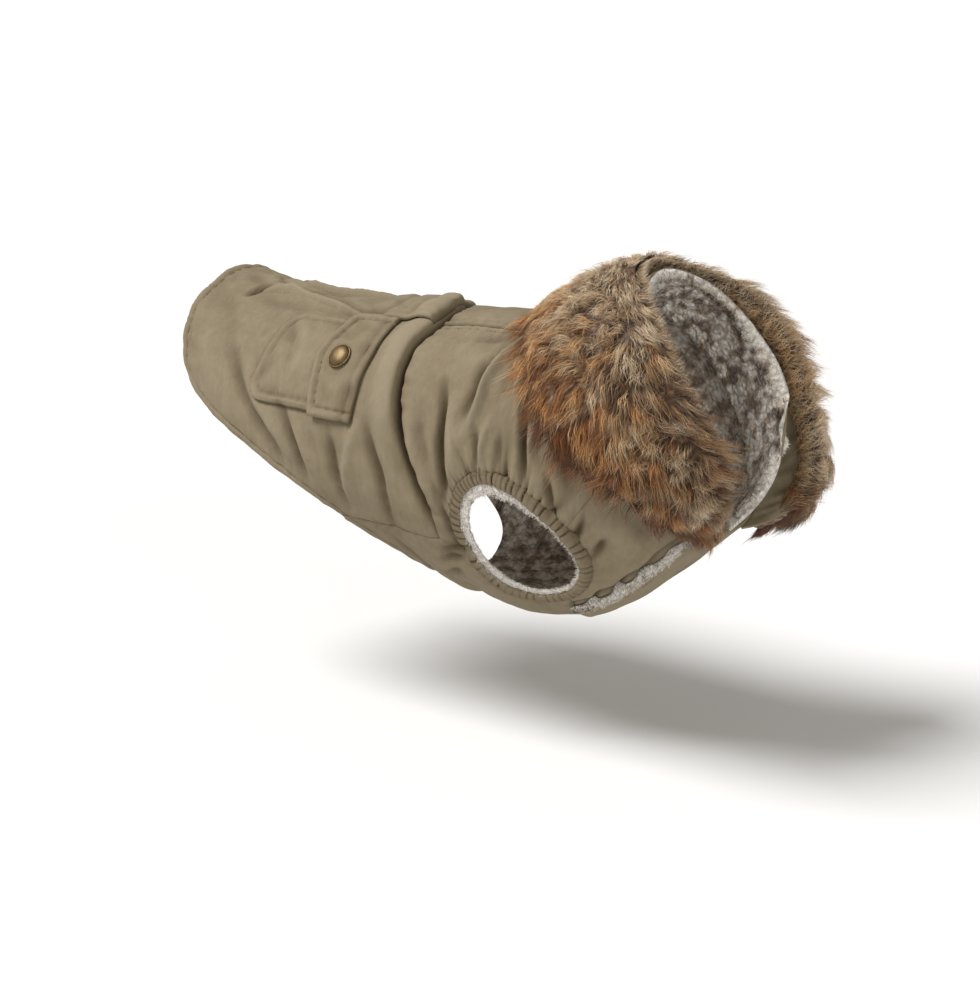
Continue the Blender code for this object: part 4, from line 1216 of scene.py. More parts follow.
def makeBelt():
    # Rows from its rear edge forward to the waist's curve, columns over the back; it puffs up as half a sine
    # between its two edges.
    values = beltValues
    edge = values["halfAngle"] - 3 * halfTurn
    columns = -edge + 2 * edge * spacing(54, 1.5, "belt", "belt")
    front = waistLine(columns) - 3.0
    share = spacing(52, 1.4)[:, None]
    station = values["rear"] + (front - values["rear"]) * share
    angle = np.broadcast_to(columns, station.shape)
    side, ends = (edge - np.abs(angle)) * degree, np.minimum(station - values["rear"], front - station)
    low = gap + values["rise"] * np.minimum(1, 2 * share) + np.zeros_like(station)
    puff = values["puff"] * np.sin(np.pi * np.clip(share, 0.08, 0.92)) * np.cos(np.radians(angle * 3))
    extra = low + thin + puff + seamRoll(side, 1.3, 2.0) + seamRoll(ends, 1.2, 2.0)
    extra += seamRoll(front - station, 1.8, 6.0)
    extra += bell(side - 2.0, 0.5, 1.5) + stitchGroove(side, 4.2, 0.5, 0.8)
    # Elastic draws it up: soft ridges run round the body, each from one side to the other.
    drift = 1.6 * softField(np.stack([station, angle * degree], -1), 22, 81)
    extra += np.sin(station / 3.4 + drift) * np.clip(side / 10, 0.25, 1)
    return clothWall("halfBelt", station, angle, extra, low - 0.2, False)


# Collar, hood and fur stand round the neck: its axis, and its middle in metres.
neckValues = dict(normal=np.array([0.863, 0.0, 0.505]), middle=np.array([0.122, 0.0, -0.038]))
collarValues = dict(
    # angle of the root, x, y, z of the top edge, bow out between them
    edge=np.array([
        (-177, 165, 38, -53, 9), (-140, 160, 48, -32, 6), (-100, 144, 49, -5, 4), (-50, 122, 36, 26, 3),
        (0, 110, 0, 40, 2), (50, 122, -35, 26, 2), (100, 143, -47, -5, 2), (140, 155, -45, -33, 2),
        (172, 160, -27, -58, 2)]),
    # angles of its two ends, height, length, millimetres to a degree, height of the root on the coat
    start=-177, end=172, height=38, length=420, perDegree=1.1, root=-1.6,
    # the fleece's first angle and its run, and how far it is cut over the cloth's top edge
    fleeceStart=-178.6, fleeceRun=352.2, spare=1.7, cloth=1.5, lump=0.8,
)
hoodValues = dict(
    # angle of the root, low edge of the fur x, y, z, its upper edge x, y, z, depth of pile
    fold=np.array([
        (-168, 156, 30, -103, 168, 56, -93, 10), (-150, 152, 62, -94, 173, 62, -80, 13),
        (-125, 147, 79, -74, 168, 70, -56, 15), (-100, 112, 82, -52, 159, 71, -27, 15),
        (-70, 82, 74, -22, 150, 63, 2, 13), (-40, 56, 50, 2, 130, 45, 27, 11),
        (-15, 40, 20, 9, 106, 18, 41, 10), (0, 37, 0, 11, 100, 0, 44, 10),
        (15, 40, -20, 9, 106, -18, 42, 10), (40, 56, -50, 2, 130, -42, 27, 12),
        (70, 80, -74, -22, 154, -56, 6, 14), (100, 106, -78, -52, 171, -56, -22, 15),
        (125, 130, -64, -70, 180, -46, -42, 13), (150, 147, -44, -88, 177, -36, -66, 10),
        (168, 160, -20, -98, 169, -23, -86, 6)]),
    # turn at its two ends, length round the neck, width of shell and of fur strip, millimetres to a degree
    turn=168, length=480, shell=30, strip=60, perDegree=1.4,
    furEdge=4.0, inset=10.0, insetShare=0.35, bow=2.0, padRows=26, facingRows=8, padShare=0.4,
)


def gridNormals(points):
    # Normals of a grid, turned away from the line through the middle of the neck.
    normal = unit(np.cross(np.gradient(points, axis=0), np.gradient(points, axis=1)))
    middle, axis = neckValues["middle"], neckValues["normal"]
    away = points - middle - ((points - middle) @ axis)[..., None] * axis
    return -normal if (away * normal).sum() < 0 else normal


def neckRoot(angle, out):
    # The neck seam: the plain form at the neck's station, moved out by out and a little down the neck's axis.
    normal = formNormal(neck, angle)
    return plainForm(neck, angle) + normal * out * mm - 0.8 * mm * neckValues["normal"]


def collarPoints(angle, rise, out):
    # From the neck seam straight to the top edge, bowed out by a parabola in between.
    edge = readSmooth(collarValues["edge"], angle) * mm
    root = neckRoot(angle, out)
    lean = unit(neckValues["normal"] + 0.6 * formNormal(neck, angle))
    rise = rise[:, None, None]
    return root + (edge[:, :3] - root) * rise + 4 * rise * (1 - rise) * edge[None, :, 3:] * lean


def makeCollar():
    # Rows of collarPoints from the neck up, columns round it. The cloth swells by a soft field; the fleece is
    # its own thickness and lumps of two sizes, and rolls out over the cloth's edges by a bell.
    values = collarValues
    start, end, tall, perDegree = values["start"], values["end"], values["height"], values["perDegree"]
    angle = start + (end - start) * spacing(values["length"], 2.0)
    rise = spacing(tall, 1.4, "root", "collar")
    points = collarPoints(angle, rise, values["root"])
    away = gridNormals(points)
    away[0] = formNormal(neck, angle)
    high = rise[:, None] * tall
    ends = np.minimum(angle - start, end - angle)[None, :] * perDegree
    edge = np.minimum(tall - high, ends)
    flat = clothMap(high, angle[None, :] * perDegree)
    soft = 0.5 * softField(flat * 1000, 24, 91) + seamRoll(edge, 0.6, 1.4)
    outer = points + away * (soft * mm)[..., None]
    inner = points - away * values["cloth"] * mm
    shell = makeWall("collarShell", outer, inner, [looks["cloth"]], flat)
    # The fleece is cut a little larger than the cloth; past the cloth's two ends it runs straight on.
    angle = values["fleeceStart"] + values["fleeceRun"] * (angle - start) / (end - start)
    further = rise * (1 + values["spare"] / tall * rise)
    points = collarPoints(np.clip(angle, start, end), further, values["root"])
    for past, tip, inside in ((start - angle, 0, 12), (angle - end, -1, -13)):
        run = unit(points[:, tip] - points[:, inside])[:, None]
        points = points + np.clip(past, 0, None)[None, :, None] * perDegree * mm * run
    away = gridNormals(points)
    away[0] = formNormal(neck, angle)
    # It rolls out furthest towards the front corners, and a little less right at the ends.
    forward = np.interp(np.abs(angle), (60, 115), (0, 1))
    lip = (1.4 + 3.4 * forward) * (0.6 + 0.4 * np.clip(ends / 8, 0, 1))
    under = values["cloth"] + 3 * gap - bell(edge, lip, 2.3)
    lining = points - away * (under * mm)[..., None]
    # The pile: lumps of two sizes on the face that shows, rolled at its rims; pale along the front edges.
    face = lining - away * formValues["fleece"] * mm
    lumps = softField(face * 1000, 6.5, 92) * 0.6 + softField(face * 1000, 3.4, 93) * 0.4
    thick = (formValues["fleece"] + values["lump"] * lumps + seamRoll(edge, 1.0, 2.2)) * mm
    face = lining - away * thick[..., None]
    mottle = 0.57 + 0.38 * softField(face * 1000, 13, 94, 50)
    # The lumps are painted a little paler and the dips between them darker, as painted light and shade.
    mottle = mottle + 0.3 * softField(face * 1000, 6, 95, 50) + 0.12 * lumps
    mottle += bell(ends, 1.4, 4.0) + bell(tall - high, 0.9, 2.5)
    mottle = np.clip(mottle, 0, 1)
    fleece = makeWall("collarFleece", lining, face, [looks["lining"]], flat, {"mottle": mottle})
    return shell, fleece, face, -away, mottle, edge < 7


def hoodRows(angle):
    # Low and upper edge of the fur in metres and its depth in millimetres, read smoothly from the table.
    fold = readSmooth(hoodValues["fold"], angle)
    return fold[..., :3] * mm, fold[..., 3:6] * mm, fold[..., 6:]


def outwardOf(low, rim):
    # Square to the strip's run and to its width, and away from the middle of the neck.
    out = unit(np.cross(np.gradient((low + rim) / 2, axis=0), rim - low))
    return -out if (out * ((low + rim) / 2 - neckValues["middle"])).sum() < 0 else out


def runOf(path):
    # Millimetres from a path's start to each of its points.
    return np.concatenate([[0], np.cumsum(np.linalg.norm(np.diff(path, axis=0), axis=1))]) / mm


# The fur strip read closely once: turn, both edges, outward way, millimetres along it and its width.
fineTurn = np.linspace(-hoodValues["turn"], hoodValues["turn"], 700)
fineLow, fineRim, finePile = hoodRows(fineTurn)
fineOut = outwardOf(fineLow, fineRim)
fineArc = runOf(fineLow * 0.6 + fineRim * 0.4)
fineWide = np.linalg.norm(fineRim - fineLow, axis=1) / mm


def stripAt(turn):
    # Low edge, upper edge and outward way of the fur strip at any turns round the neck.
    return [np.stack([np.interp(turn, fineTurn, table[:, k]) for k in range(3)], -1)
            for table in (fineLow, fineRim, fineOut)]


def insetOf(chord):
    # How far the hood's rim stays inside the strip's upper edge: a length, or a share of a narrow strip.
    return np.minimum(hoodValues["inset"] * mm, hoodValues["insetShare"] * np.linalg.norm(chord, axis=-1))


def furDepth(across, pile):
    # The pile's depth over the strip in millimetres: a rounded arch that keeps an edge at both sides.
    arch = np.sin(np.pi * np.clip(across, 0, 1)) ** 0.7
    return hoodValues["furEdge"] + (pile - hoodValues["furEdge"]) * arch


def furPlace(turn, across, height):
    # A place in the fur: along the strip by turn, across from its low edge, and out by a share of the pile.
    low, rim, out = stripAt(turn)
    pile = np.interp(turn, fineTurn, finePile[:, 0])
    rise = (furDepth(across, pile) * height * mm)[..., None]
    return low + (rim - low) * across[..., None] + unit(out) * rise


def makeHood():
    # The shell runs straight from the neck seam to a line inside the fur's upper edge, bowed out by a
    # parabola and swollen by a soft field times half a sine. The fur's pad has lumps of two sizes on a share
    # of the pile's arch; plain cloth faces its underside.
    values = hoodValues
    angle = -values["turn"] + 2 * values["turn"] * spacing(values["length"], 1.8, "hood", "hood")
    low, rim, _ = hoodRows(angle)
    chord = rim - low
    shellRim = rim - unit(chord) * insetOf(chord)[..., None] - outwardOf(low, rim) * 2 * gap * mm
    root = neckRoot(angle, 1.6)
    length = np.linalg.norm(shellRim - root, axis=-1, keepdims=True)

    def rowsAt(share):
        share = share[:, None, None]
        bow = 4 * share * (1 - share) * np.minimum(values["bow"] * mm, 0.1 * length) * formNormal(neck, angle)
        return root + (shellRim - root) * share + bow

    share = spacing(values["shell"], 1.3, "root", "fold")
    points = rowsAt(share)
    away = gridNormals(points)
    away[0] = formNormal(neck, angle)
    flat = clothMap(share[:, None] * values["shell"], angle[None, :] * values["perDegree"])
    fall = np.sin(np.pi * share)[:, None]
    soft = (0.7 * softField(flat * 1000 * np.array([0.45, 1.0]), 13, 96) - 0.3) * fall
    inner = points - away * thin * mm + away * (soft * mm)[..., None] * 0.6
    outer = points + away * (np.minimum(soft, 0.3) * mm)[..., None]
    # Painted light and shade: the shell is painted darker where it sinks and lighter where it swells.
    paintedFoldShading = np.clip(0.5 + soft / 3, 0, 1)
    shell = makeWall("hoodShell", outer, inner, [looks["hood"]], flat, {"paintedFoldShading": paintedFoldShading})
    # The fur's own cloth and underfur: a closed pad, its inner face on the hood and across to both edges.
    coarse = rowsAt(np.linspace(0, 1, 5))
    lift = gridNormals(coarse)
    lift[0] = formNormal(neck, angle)
    backing = coarse[1:] + lift[1:] * 3 * gap * mm
    backing[-1] += 6 * gap * mm * unit(coarse[-1] - coarse[-2])
    inner = np.concatenate([low[None], backing, rim[None]])
    across = np.linspace(0, 1, values["padRows"])
    row = across * 5
    below = np.clip(row.astype(int), 0, 4)
    inner = inner[below] + (inner[below + 1] - inner[below]) * (row - below)[:, None, None]
    lumps = softField(inner * 1000, 7, 97) * 0.1 + softField(inner * 1000, 3.2, 98) * 0.04
    turn, over = np.broadcast_arrays(angle, across[:, None])
    outer = furPlace(turn, over, values["padShare"] + lumps)
    red = furRed(over, turn) + lumps * 0.8
    tufts = softField(inner * 1000 * np.array([0.6, 1.2, 1.0]), 2.6, 100)
    # Painted shade: the pad takes colours near the root end of the hair ramps, darker than the hairs, so it
    # shows as shade between the locks.
    shade = 0.05 + 0.05 * tufts + 0.5 * np.clip((red - 0.4) * 5, 0, 1)
    own = np.clip(np.stack([shade, np.clip(0.13 + 0.16 * tufts, 0, 0.5)], -1), 0, 1)
    pad = makeWall("furUnderCloth", outer, inner, [looks["fur"]], own)
    pad.data.uv_layers["clothMap"].name = "OFBake"
    # Plain cloth covers the strip's underside from its low edge to the hood.
    some = slice(0, values["facingRows"])
    under = inner[some]
    down = unit(np.cross(np.gradient(under, axis=0), np.gradient(under, axis=1)))
    down = -down if ((outer[some] - under) * down).sum() > 0 else down
    flat = clothMap(across[some, None] * values["strip"], angle[None, :] * values["perDegree"])
    soft = 0.35 * softField(flat * 1000, 12, 99)[..., None] + 0.9
    # Painted shade: the facing's fold value sits a little under plain cloth, so it is painted a shade darker.
    paintedFoldShading = 0.4 + soft[..., 0] * 0.1
    facing = makeWall("furFacing", under + down * soft * mm, under + down * 0.1 * mm, [looks["hood"]], flat,
                      {"paintedFoldShading": paintedFoldShading})
    return shell, pad, facing


def makeStrands(name, path, radius, shade, material):
    # Hairs: path is hairs by steps by 3. Three points stand round each step, square to the hair's own run, on
    # a circle that narrows along it; the last step is the tip.
    count, steps = path.shape[:2]
    run = unit(np.gradient(path, axis=1))
    side = unit(np.cross(run, np.array([0.31, 0.17, 0.93])))
    up = np.cross(run, side)
    way = np.linspace(0, 1, steps)
    width = radius[:, None] * (1 - 0.55 * way[None, :-1])
    rings = [path[:, :-1] + (math.cos(a) * side[:, :-1] + math.sin(a) * up[:, :-1]) * width[..., None]
             for a in (0, 2 * math.pi / 3, 4 * math.pi / 3)]
    points = np.concatenate([np.stack(rings, 2).reshape(count, -1, 3), path[:, -1:]], 1)
    tip = (steps - 1) * 3
    pattern = [(0, 2, 1)]
    for ring in range(steps - 2):
        for corner in range(3):
            a, b = ring * 3 + corner, ring * 3 + (corner + 1) % 3
            pattern += [(a, b, b + 3), (a, b + 3, a + 3)]
    pattern += [(tip - 3 + corner, tip - 3 + (corner + 1) % 3, tip) for corner in range(3)]
    faces = (np.arange(count)[:, None, None] * (tip + 1) + np.array(pattern)[None]).reshape(-1, 3)
    along = np.concatenate([np.repeat(way[:-1], 3), [1.0]])
    own = np.stack(np.broadcast_arrays(shade[:, None], along[None, :]), -1)
    return makeMesh(name, points, faces, material, {"OFBake": own})


# Fur: hairs in each piece, how many of all stand on the turned-in edge, size and pull of a lock, lengths in
# millimetres, shares of the pile's depth, the strip's foremost x in metres.
furValues = dict(
    pieces=3, strands=13400, rim=7200, steps=(0, 0.5, 1.0), radius=0.16, clump=7.4, pull=0.55, curl=2.0,
    low=0.3, reach=(0.78, 1.26), sag=1.6, wisps=0.1, front=0.196, over=0.0055,
    # way along the strip, by turn; and across it from its low edge: way across, share of red hair
    along=((-168, -90, -40, 0, 40, 90, 168), (-7, -9, -8, 2, 8, 9, 7)),
    across=np.array([(0, -12), (.25, -9.5), (.5, -6), (.75, -2), (1, 5)]),
    red=np.array([(0, .95), (.25, .9), (.42, .68), (.58, .46), (.78, .28), (1, .4)]),
)


def besideNape(turn, strength):
    # A bell on each side of the nape, where the fur is less red and is painted lighter, as painted light on
    # the top of the strip.
    return bell(np.abs(turn) - 22, strength, 34)


def furRed(across, turn):
    # The table's share of red, a slow wave along the strip, less over the nape and towards the throat.
    deep = 0.35 * np.clip((-turn - 128) / 20, 0, 1)
    throat = 0.3 * np.clip((np.abs(turn) - 105) / 30, 0, 1)
    pale = besideNape(turn, 0.36) * np.clip(0.3 + 2 * across, 0, 1) + throat
    return readTable(furValues["red"], across) + 0.12 * np.sin(np.radians(turn * 3.1)) - pale + deep


def makeFur():
    # Each hair leaves a random place of the strip and bends by powers of its own length along and across the
    # strip, rising as a quarter of a sine to its share of the pile's depth, with a small curl.
    values = furValues
    chance = np.random.default_rng(5)
    count = values["pieces"] * values["strands"]
    x = chance.uniform(0, fineArc[-1], count)
    wide = np.interp(x, fineArc, fineWide)
    across = np.clip(chance.uniform(-0.02, 1.02, count), 0, 1)
    y = across * wide
    # Locks: hairs of one cell of a jittered grid lean to the cell's own middle and share its lie.
    drift = np.stack([x, y], 1)
    x2, y2 = x + 2.2 * softField(drift, 15, 101), y + 2.2 * softField(drift, 13, 102)
    clump = values["clump"]
    cellX, cellY = np.floor(x2 / clump).astype(int) + 3, np.floor(y2 / clump).astype(int) + 3
    table = chance.uniform(-1, 1, (cellX.max() + 2, cellY.max() + 2, 8))
    lock = table[cellX, cellY]
    centreX = (cellX - 2.5 + 0.3 * lock[:, 0]) * clump
    centreY = (cellY - 2.5 + 0.3 * lock[:, 1]) * clump
    turn = np.interp(x, fineArc, fineTurn)
    down = np.interp(turn, *values["along"])
    # How far a hair stands from the middle of its lock, up to 1: the outer ones are short and painted darker,
    # as painted shade between the locks.
    apart = np.clip(np.hypot(centreX - x, centreY - y) / (0.62 * clump), 0, 1) ** 2
    endX = down + 6.5 * lock[:, 2] + values["pull"] * (centreX - x) + chance.normal(0, 1.8, count)
    nearEnd = np.interp(np.abs(turn), (136, 168), (1, 0.25))
    endY = readTable(values["across"], across) * nearEnd + 4.5 * lock[:, 3] * nearEnd
    endY = endY + values["pull"] * (centreY - y) + chance.normal(0, 1.8, count)
    wisp = chance.uniform(0, 1, count) < values["wisps"]
    grow = np.where(wisp, 1.35, 1.0) * (1 + 0.18 * lock[:, 4])
    endX = endX * grow + wisp * chance.normal(0, 4, count)
    endY = endY * grow + wisp * chance.normal(0, 3, count)
    reach = chance.uniform(*values["reach"], count) + 0.14 * lock[:, 5] + wisp * 0.12 - 0.24 * apart
    t = np.array(values["steps"])[None, :]
    swing = t * (2.4 + 1.2 * lock[:, 6:7]) + 3 * lock[:, 7:8] + chance.normal(0, 0.4, (count, 1))
    curl = values["curl"] * np.sin(swing) * t
    placeX = x[:, None] + endX[:, None] * t**1.2 + curl
    placeY = y[:, None] + endY[:, None] * t**1.3 + curl * np.sign(lock[:, 6:7])
    height = values["low"] + (reach[:, None] - values["low"]) * np.sin(np.pi / 2 * t) ** 0.85
    over = np.clip(placeX, 0, fineArc[-1])
    turns = np.interp(over, fineArc, fineTurn)
    path = furPlace(turns, placeY / np.interp(over, fineArc, fineWide), height)
    # Past the strip's two ends the hair runs straight on.
    for past, k, inside in ((-placeX, 0, 1), (placeX - fineArc[-1], -1, -2)):
        run = unit(fineLow[k] * 0.6 + fineRim[k] * 0.4 - fineLow[inside] * 0.6 - fineRim[inside] * 0.4)
        path += (np.clip(past, 0, 12) * mm * 0.35)[..., None] * run
    path[..., 2] -= values["sag"] * mm * t**2 * (1 + 0.5 * lock[:, 5:6])
    # The last hairs stand on the strip's turned-in edge, inside the rim, and lie out over it.
    rim = np.arange(count) >= count - values["rim"]
    some = rim.sum()
    low, top, out = stripAt(turns[rim, 0])
    chord, out = unit(top - low), unit(out)
    side = np.cross(out, chord)
    inset = insetOf(top - low)
    edge = chance.uniform(0, 1, some) < 0.45
    back = inset * np.where(edge, chance.uniform(-0.15, 0.2, some), chance.uniform(0.1, 1.8, some))
    root = top - chord * back[:, None] - out * 1.0 * mm
    far = np.clip((-turn[rim] - 30) / 40, 0, 1)
    length = (back * 0.4 + chance.uniform(5.0, 10.0, some) * (1 + 0.55 * far) * mm)[:, None]
    lie = unit(chord + side * (0.9 * lock[rim, 2] + chance.normal(0, 0.4, some))[:, None])
    rise = 4.0 + 2.6 * chance.uniform(0, 1, some) + 2.4 * lock[rim, 5] + 1.5 * far
    rise = (rise * np.clip(back / inset + 0.1, 0.1, 1))[:, None, None] * mm
    path[rim] = (root[:, None] + (lie * length)[:, None] * t[0][None, :, None]
                 - out[:, None] * rise * np.sin(np.pi * (0.1 + 0.7 * t[0]))[None, :, None])
    # Nothing grows further forward than the strip's own front and a little more.
    ahead = np.clip(path[..., 0] - values["front"], 0, None)
    path[..., 0] += -ahead + values["over"] * (1 - np.exp(-ahead / values["over"]))
    # Shades: up to 0.45 in the dark hairs, 0.55 more in the red ones, darker towards the skin and towards the
    # strip's far end. Painted shade darkens the hairs between locks and along the strip's low edge; painted
    # light brightens them beside the nape, on the far side and on the turned-in edge.
    inside = np.append(np.zeros(count - some), back) / mm
    place = np.where(rim, 0.85 - np.clip(inside - 6, 0, 9) / 12, across)
    red = furRed(place, turn) + 0.35 * lock[:, 4] + chance.normal(0, 0.16, count) > 0.5
    away = np.clip((-turn - 30) / 40, 0, 1) * np.maximum(rim, np.clip((across - 0.6) / 0.3, 0, 1))
    within = 0.28 + besideNape(turn, 0.18) + 0.17 * lock[:, 7] + chance.normal(0, 0.08, count)
    within += wisp * 0.1 + rim * 0.06 + 0.24 * away - 0.17 * apart - 0.2 * np.clip(1 - across * 2.6, 0, 1)
    within -= 0.2 * np.clip((-turn - 134) / 20, 0, 1)
    shade = np.clip(np.clip(within, 0, 0.45) + 0.55 * red, 0, 1)
    radius = values["radius"] * mm * chance.uniform(0.7, 1.15, count)
    pieces = []
    for number in range(values["pieces"]):
        own = slice(number, None, values["pieces"])
        pieces.append(makeStrands(f"furPile{number + 1}", path[own], radius[own], shade[own], looks["fur"]))
    return pieces


# Fleece that shows at the armholes and along the lap. show is how far it reaches in, by corner number.
fleeceValues = dict(thick=3.0, around=300, section=14, lumps=(0.5, 0.3), pile=1.7, pileRadius=0.13, inset=0.6,
                    show=((0, 3, 8, 12, 16, 27, 31, 36), (7.6, 6.8, 7.6, 9.6, 11.2, 11.2, 8.2, 7.6)),
                    counts=dict(arm=2700, lap=1700, collar=3000))
lapValues = dict(start=61, length=56, rows=90, section=12, angle=155.8, halfWidth=2.0)


def makeArmFleece(name, side, seed):
    # A flat oval section carried round the armhole, a cosine across it and a sine in height, with lumps of
    # two sizes where it shows: most behind and above the leg, and hardly at all in front of it.
    values = fleeceValues
    corner, turn = ringGrid(values)
    reach = np.interp(np.mod(corner, facets), *values["show"])
    half2 = (reach - values["inset"]) / 2
    inward = values["inset"] + half2 - half2 * np.cos(turn)
    height = -cloth - 1.2 + values["thick"] / 2 * np.sin(turn) + 0.2 * (inward - 1.5)
    station, angle = armOval(corner, -inward)
    ground = coatPoint(station, side * angle, height)
    lumps = (values["lumps"][0] * softField(ground * 1000, 4.2, seed)
             + values["lumps"][1] * softField(ground * 1000, 2.0, seed + 1))
    show = np.clip((inward - 4.5) / 3, 0, 1)
    points = coatPoint(station, side * angle, height + lumps * show * np.sign(np.sin(turn) + 0.01))
    faces = gridFaces(values["around"], values["section"], True, True)
    piece = makeMesh(name, points, faces, looks["ivory"], {"clothMap": clothMap(corner * 6, turn)})
    innerStation, innerAngle = armOval(corner, -inward - 0.5)
    inwardWay = unit(coatPoint(innerStation, side * innerAngle, height) - ground)
    lean = inwardWay * np.clip(-np.cos(turn), -0.2, 1)[..., None] * 1.6
    lie = unit(formNormal(station, side * angle) * 0.7 + lean)
    return piece, points, lie, (inward > 4.2) & (np.sin(turn) > -0.6)


def makeLapFleece():
    # An oval section, a cosine across and a sine in height, carried straight along the lap on a soft wave; it
    # tapers at both ends by a root and has lumps of two sizes above.
    values = lapValues
    along = np.linspace(0, 1, values["rows"])[:, None]
    turn = (np.arange(values["section"]) * 2 * np.pi / values["section"])[None, :]
    station = np.broadcast_to(values["start"] + values["length"] * along, (values["rows"], values["section"]))
    taper = np.clip(np.minimum(along, 1 - along) * 14, 0.05, 1) ** 0.5
    wave = softField(station[..., None], 11, 111) * 0.5
    angle = values["angle"] + wave + values["halfWidth"] * taper * np.cos(turn)
    ground = gap + formValues["fleece"] / 2 + (formValues["fleece"] / 2 + 0.2) * taper * np.sin(turn)
    points = coatPoint(station, angle, ground)
    lumps = 0.5 * softField(points * 1000, 4.5, 112) + 0.3 * softField(points * 1000, 2.1, 113)
    lumps = lumps * np.clip(np.sin(turn) + 0.6, 0, 1)
    points = coatPoint(station, angle, ground + lumps * taper)
    # The lumps are painted a little paler as painted light; the fleece is also darker near its rear end.
    mottle = 1.06 + 0.26 * softField(points * 1000, 9, 114) + 0.1 * lumps - bell(station - 64, 0.45, 9)
    mottle = np.clip(mottle, 0, 1)
    faces = gridFaces(values["rows"], values["section"], False, True)
    caps = np.array([[0, 1, 2, 3], [0, 3, 4, 5], [0, 5, 6, 7], [0, 7, 8, 9], [0, 9, 10, 11]])
    last = (values["rows"] - 1) * values["section"]
    faces = np.concatenate([faces, caps[:, ::-1], caps + last])
    piece = makeMesh("lapFleece", points, faces, looks["ivory"], {"clothMap": clothMap(station, angle)},
                     {"mottle": mottle})
    shown = np.broadcast_to(np.sin(turn) > -0.2, station.shape)
    return piece, points, formNormal(station, angle), shown, mottle


def scatter(points, lie, keep, count, seed, values=None):
    # Random places inside the grid's cells, weighted by their area, with the lie and value found there.
    chance = np.random.default_rng(seed)
    columns = points.shape[1]
    a, b, c = points[:-1, :-1], points[1:, :-1], points[:-1, 1:]
    area = np.linalg.norm(np.cross(b - a, c - a), axis=-1) * keep[:-1, :-1]
    pick = chance.choice(area.size, count, p=area.ravel() / area.sum())
    row, column = pick // (columns - 1), pick % (columns - 1)
    u, v = chance.uniform(0, 1, (2, count))

    def blendOf(grid):
        grid = grid if grid.ndim == 3 else grid[..., None]
        u1, v1 = u[:, None], v[:, None]
        return (grid[row, column] * (1 - u1) * (1 - v1) + grid[row + 1, column] * u1 * (1 - v1)
                + grid[row, column + 1] * (1 - u1) * v1 + grid[row + 1, column + 1] * u1 * v1)

    tone = blendOf(values)[:, 0] if values is not None else np.full(count, 1.05)
    return blendOf(points), unit(blendOf(lie)), tone


def makePile(patches):
    # Short curled hairs: root on the fleece, then a little out and to one side.
    values = fleeceValues
    chance = np.random.default_rng(121)
    paths, shades = [], []
    for number, (points, lie, keep, count, mottle) in enumerate(patches):
        root, out, tone = scatter(points, lie, keep, count, 130 + number, mottle)
        lock = np.stack([softField(root * 1000, 3.4, 140 + k) for k in range(3)], -1)
        length = values["pile"] * mm * chance.uniform(0.6, 1.25, count)[:, None]
        bend = unit(out + 0.75 * lock + chance.normal(0, 0.25, (count, 3)))
        middle = root + out * length * 0.55 + bend * length * 0.1
        paths.append(np.stack([root - out * 0.3 * mm, middle, middle + bend * length * 0.6], 1))
        shades.append(np.clip(tone + 0.16 * lock[:, 0] + chance.normal(0, 0.08, count), 0, 1))
    path = np.concatenate(paths)
    radius = values["pileRadius"] * mm * chance.uniform(0.8, 1.3, len(path))
    return makeStrands("fleecePile", path, radius, np.concatenate(shades), looks["pile"])


# Stitches: small rounded bars along a path, sunk at both ends. ends are shares of the length and thickness.
stitchValues = dict(length=2.3, pitch=3.0, radius=0.17, sides=4, sink=0.22,
                    ends=((-0.5, 0.45), (-0.25, 1.0), (0.25, 1.0), (0.5, 0.45)))


def alongLine(line, offset):
    # A line of stations and angles moved sideways in the cloth by offset millimetres.
    line = np.array(line, float) * np.array([1, degree])
    run = np.gradient(line, axis=0)
    run /= np.linalg.norm(run, axis=1, keepdims=True)
    moved = line + offset * np.stack([-run[:, 1], run[:, 0]], 1)
    return moved[:, 0], moved[:, 1] / degree


def smoothLine(line, count):
    # The same line with evenly spaced points.
    way = lineWay(line)
    return placesOn(line, way, np.linspace(0, way[-1], count))


def stitchRow(station, angle, out):
    # Centres, runs and normals of the stitches along a path on the coat.
    path = coatPoint(station, angle, np.broadcast_to(out, station.shape))
    way = runOf(path)
    places = np.arange(stitchValues["pitch"], way[-1] - 1.0, stitchValues["pitch"])
    centre = np.stack([np.interp(places, way, path[:, k]) for k in range(3)], 1)
    ahead = np.stack([np.interp(places + 0.6, way, path[:, k]) for k in range(3)], 1)
    normal = formNormal(np.interp(places, way, station), np.interp(places, way, angle))
    return centre, unit(ahead - centre), normal


def makeStitches(name, rows):
    # Four rings of points to a stitch: a cosine sideways, a sine in height, sunk by the way's fourth power.
    values = stitchValues
    centre, run, normal = (np.concatenate([row[k] for row in rows]) for k in range(3))
    side = unit(np.cross(normal, run))
    way, size = np.array(values["ends"]).T
    lift = -values["sink"] * (2 * way) ** 4
    turn = np.arange(values["sides"]) * 2 * np.pi / values["sides"]
    thick = values["radius"] * size[:, None]
    high, wide = (lift[:, None] + thick * np.sin(turn)[None]) * mm, (thick * np.cos(turn)[None]) * mm
    points = (centre[:, None, None] + run[:, None, None] * (way * values["length"] * mm)[None, :, None, None]
              + normal[:, None, None] * high[None, ..., None] + side[:, None, None] * wide[None, ..., None])
    count = values["sides"] * len(way)
    pattern = gridFaces(len(way), values["sides"], False, True)
    pattern = np.concatenate([pattern, [[3, 2, 1, 0]], [[count - 4, count - 3, count - 2, count - 1]]])
    faces = (np.arange(len(centre))[:, None, None] * count + pattern[None]).reshape(-1, 4)
    return makeMesh(name, points, faces, looks["thread"])


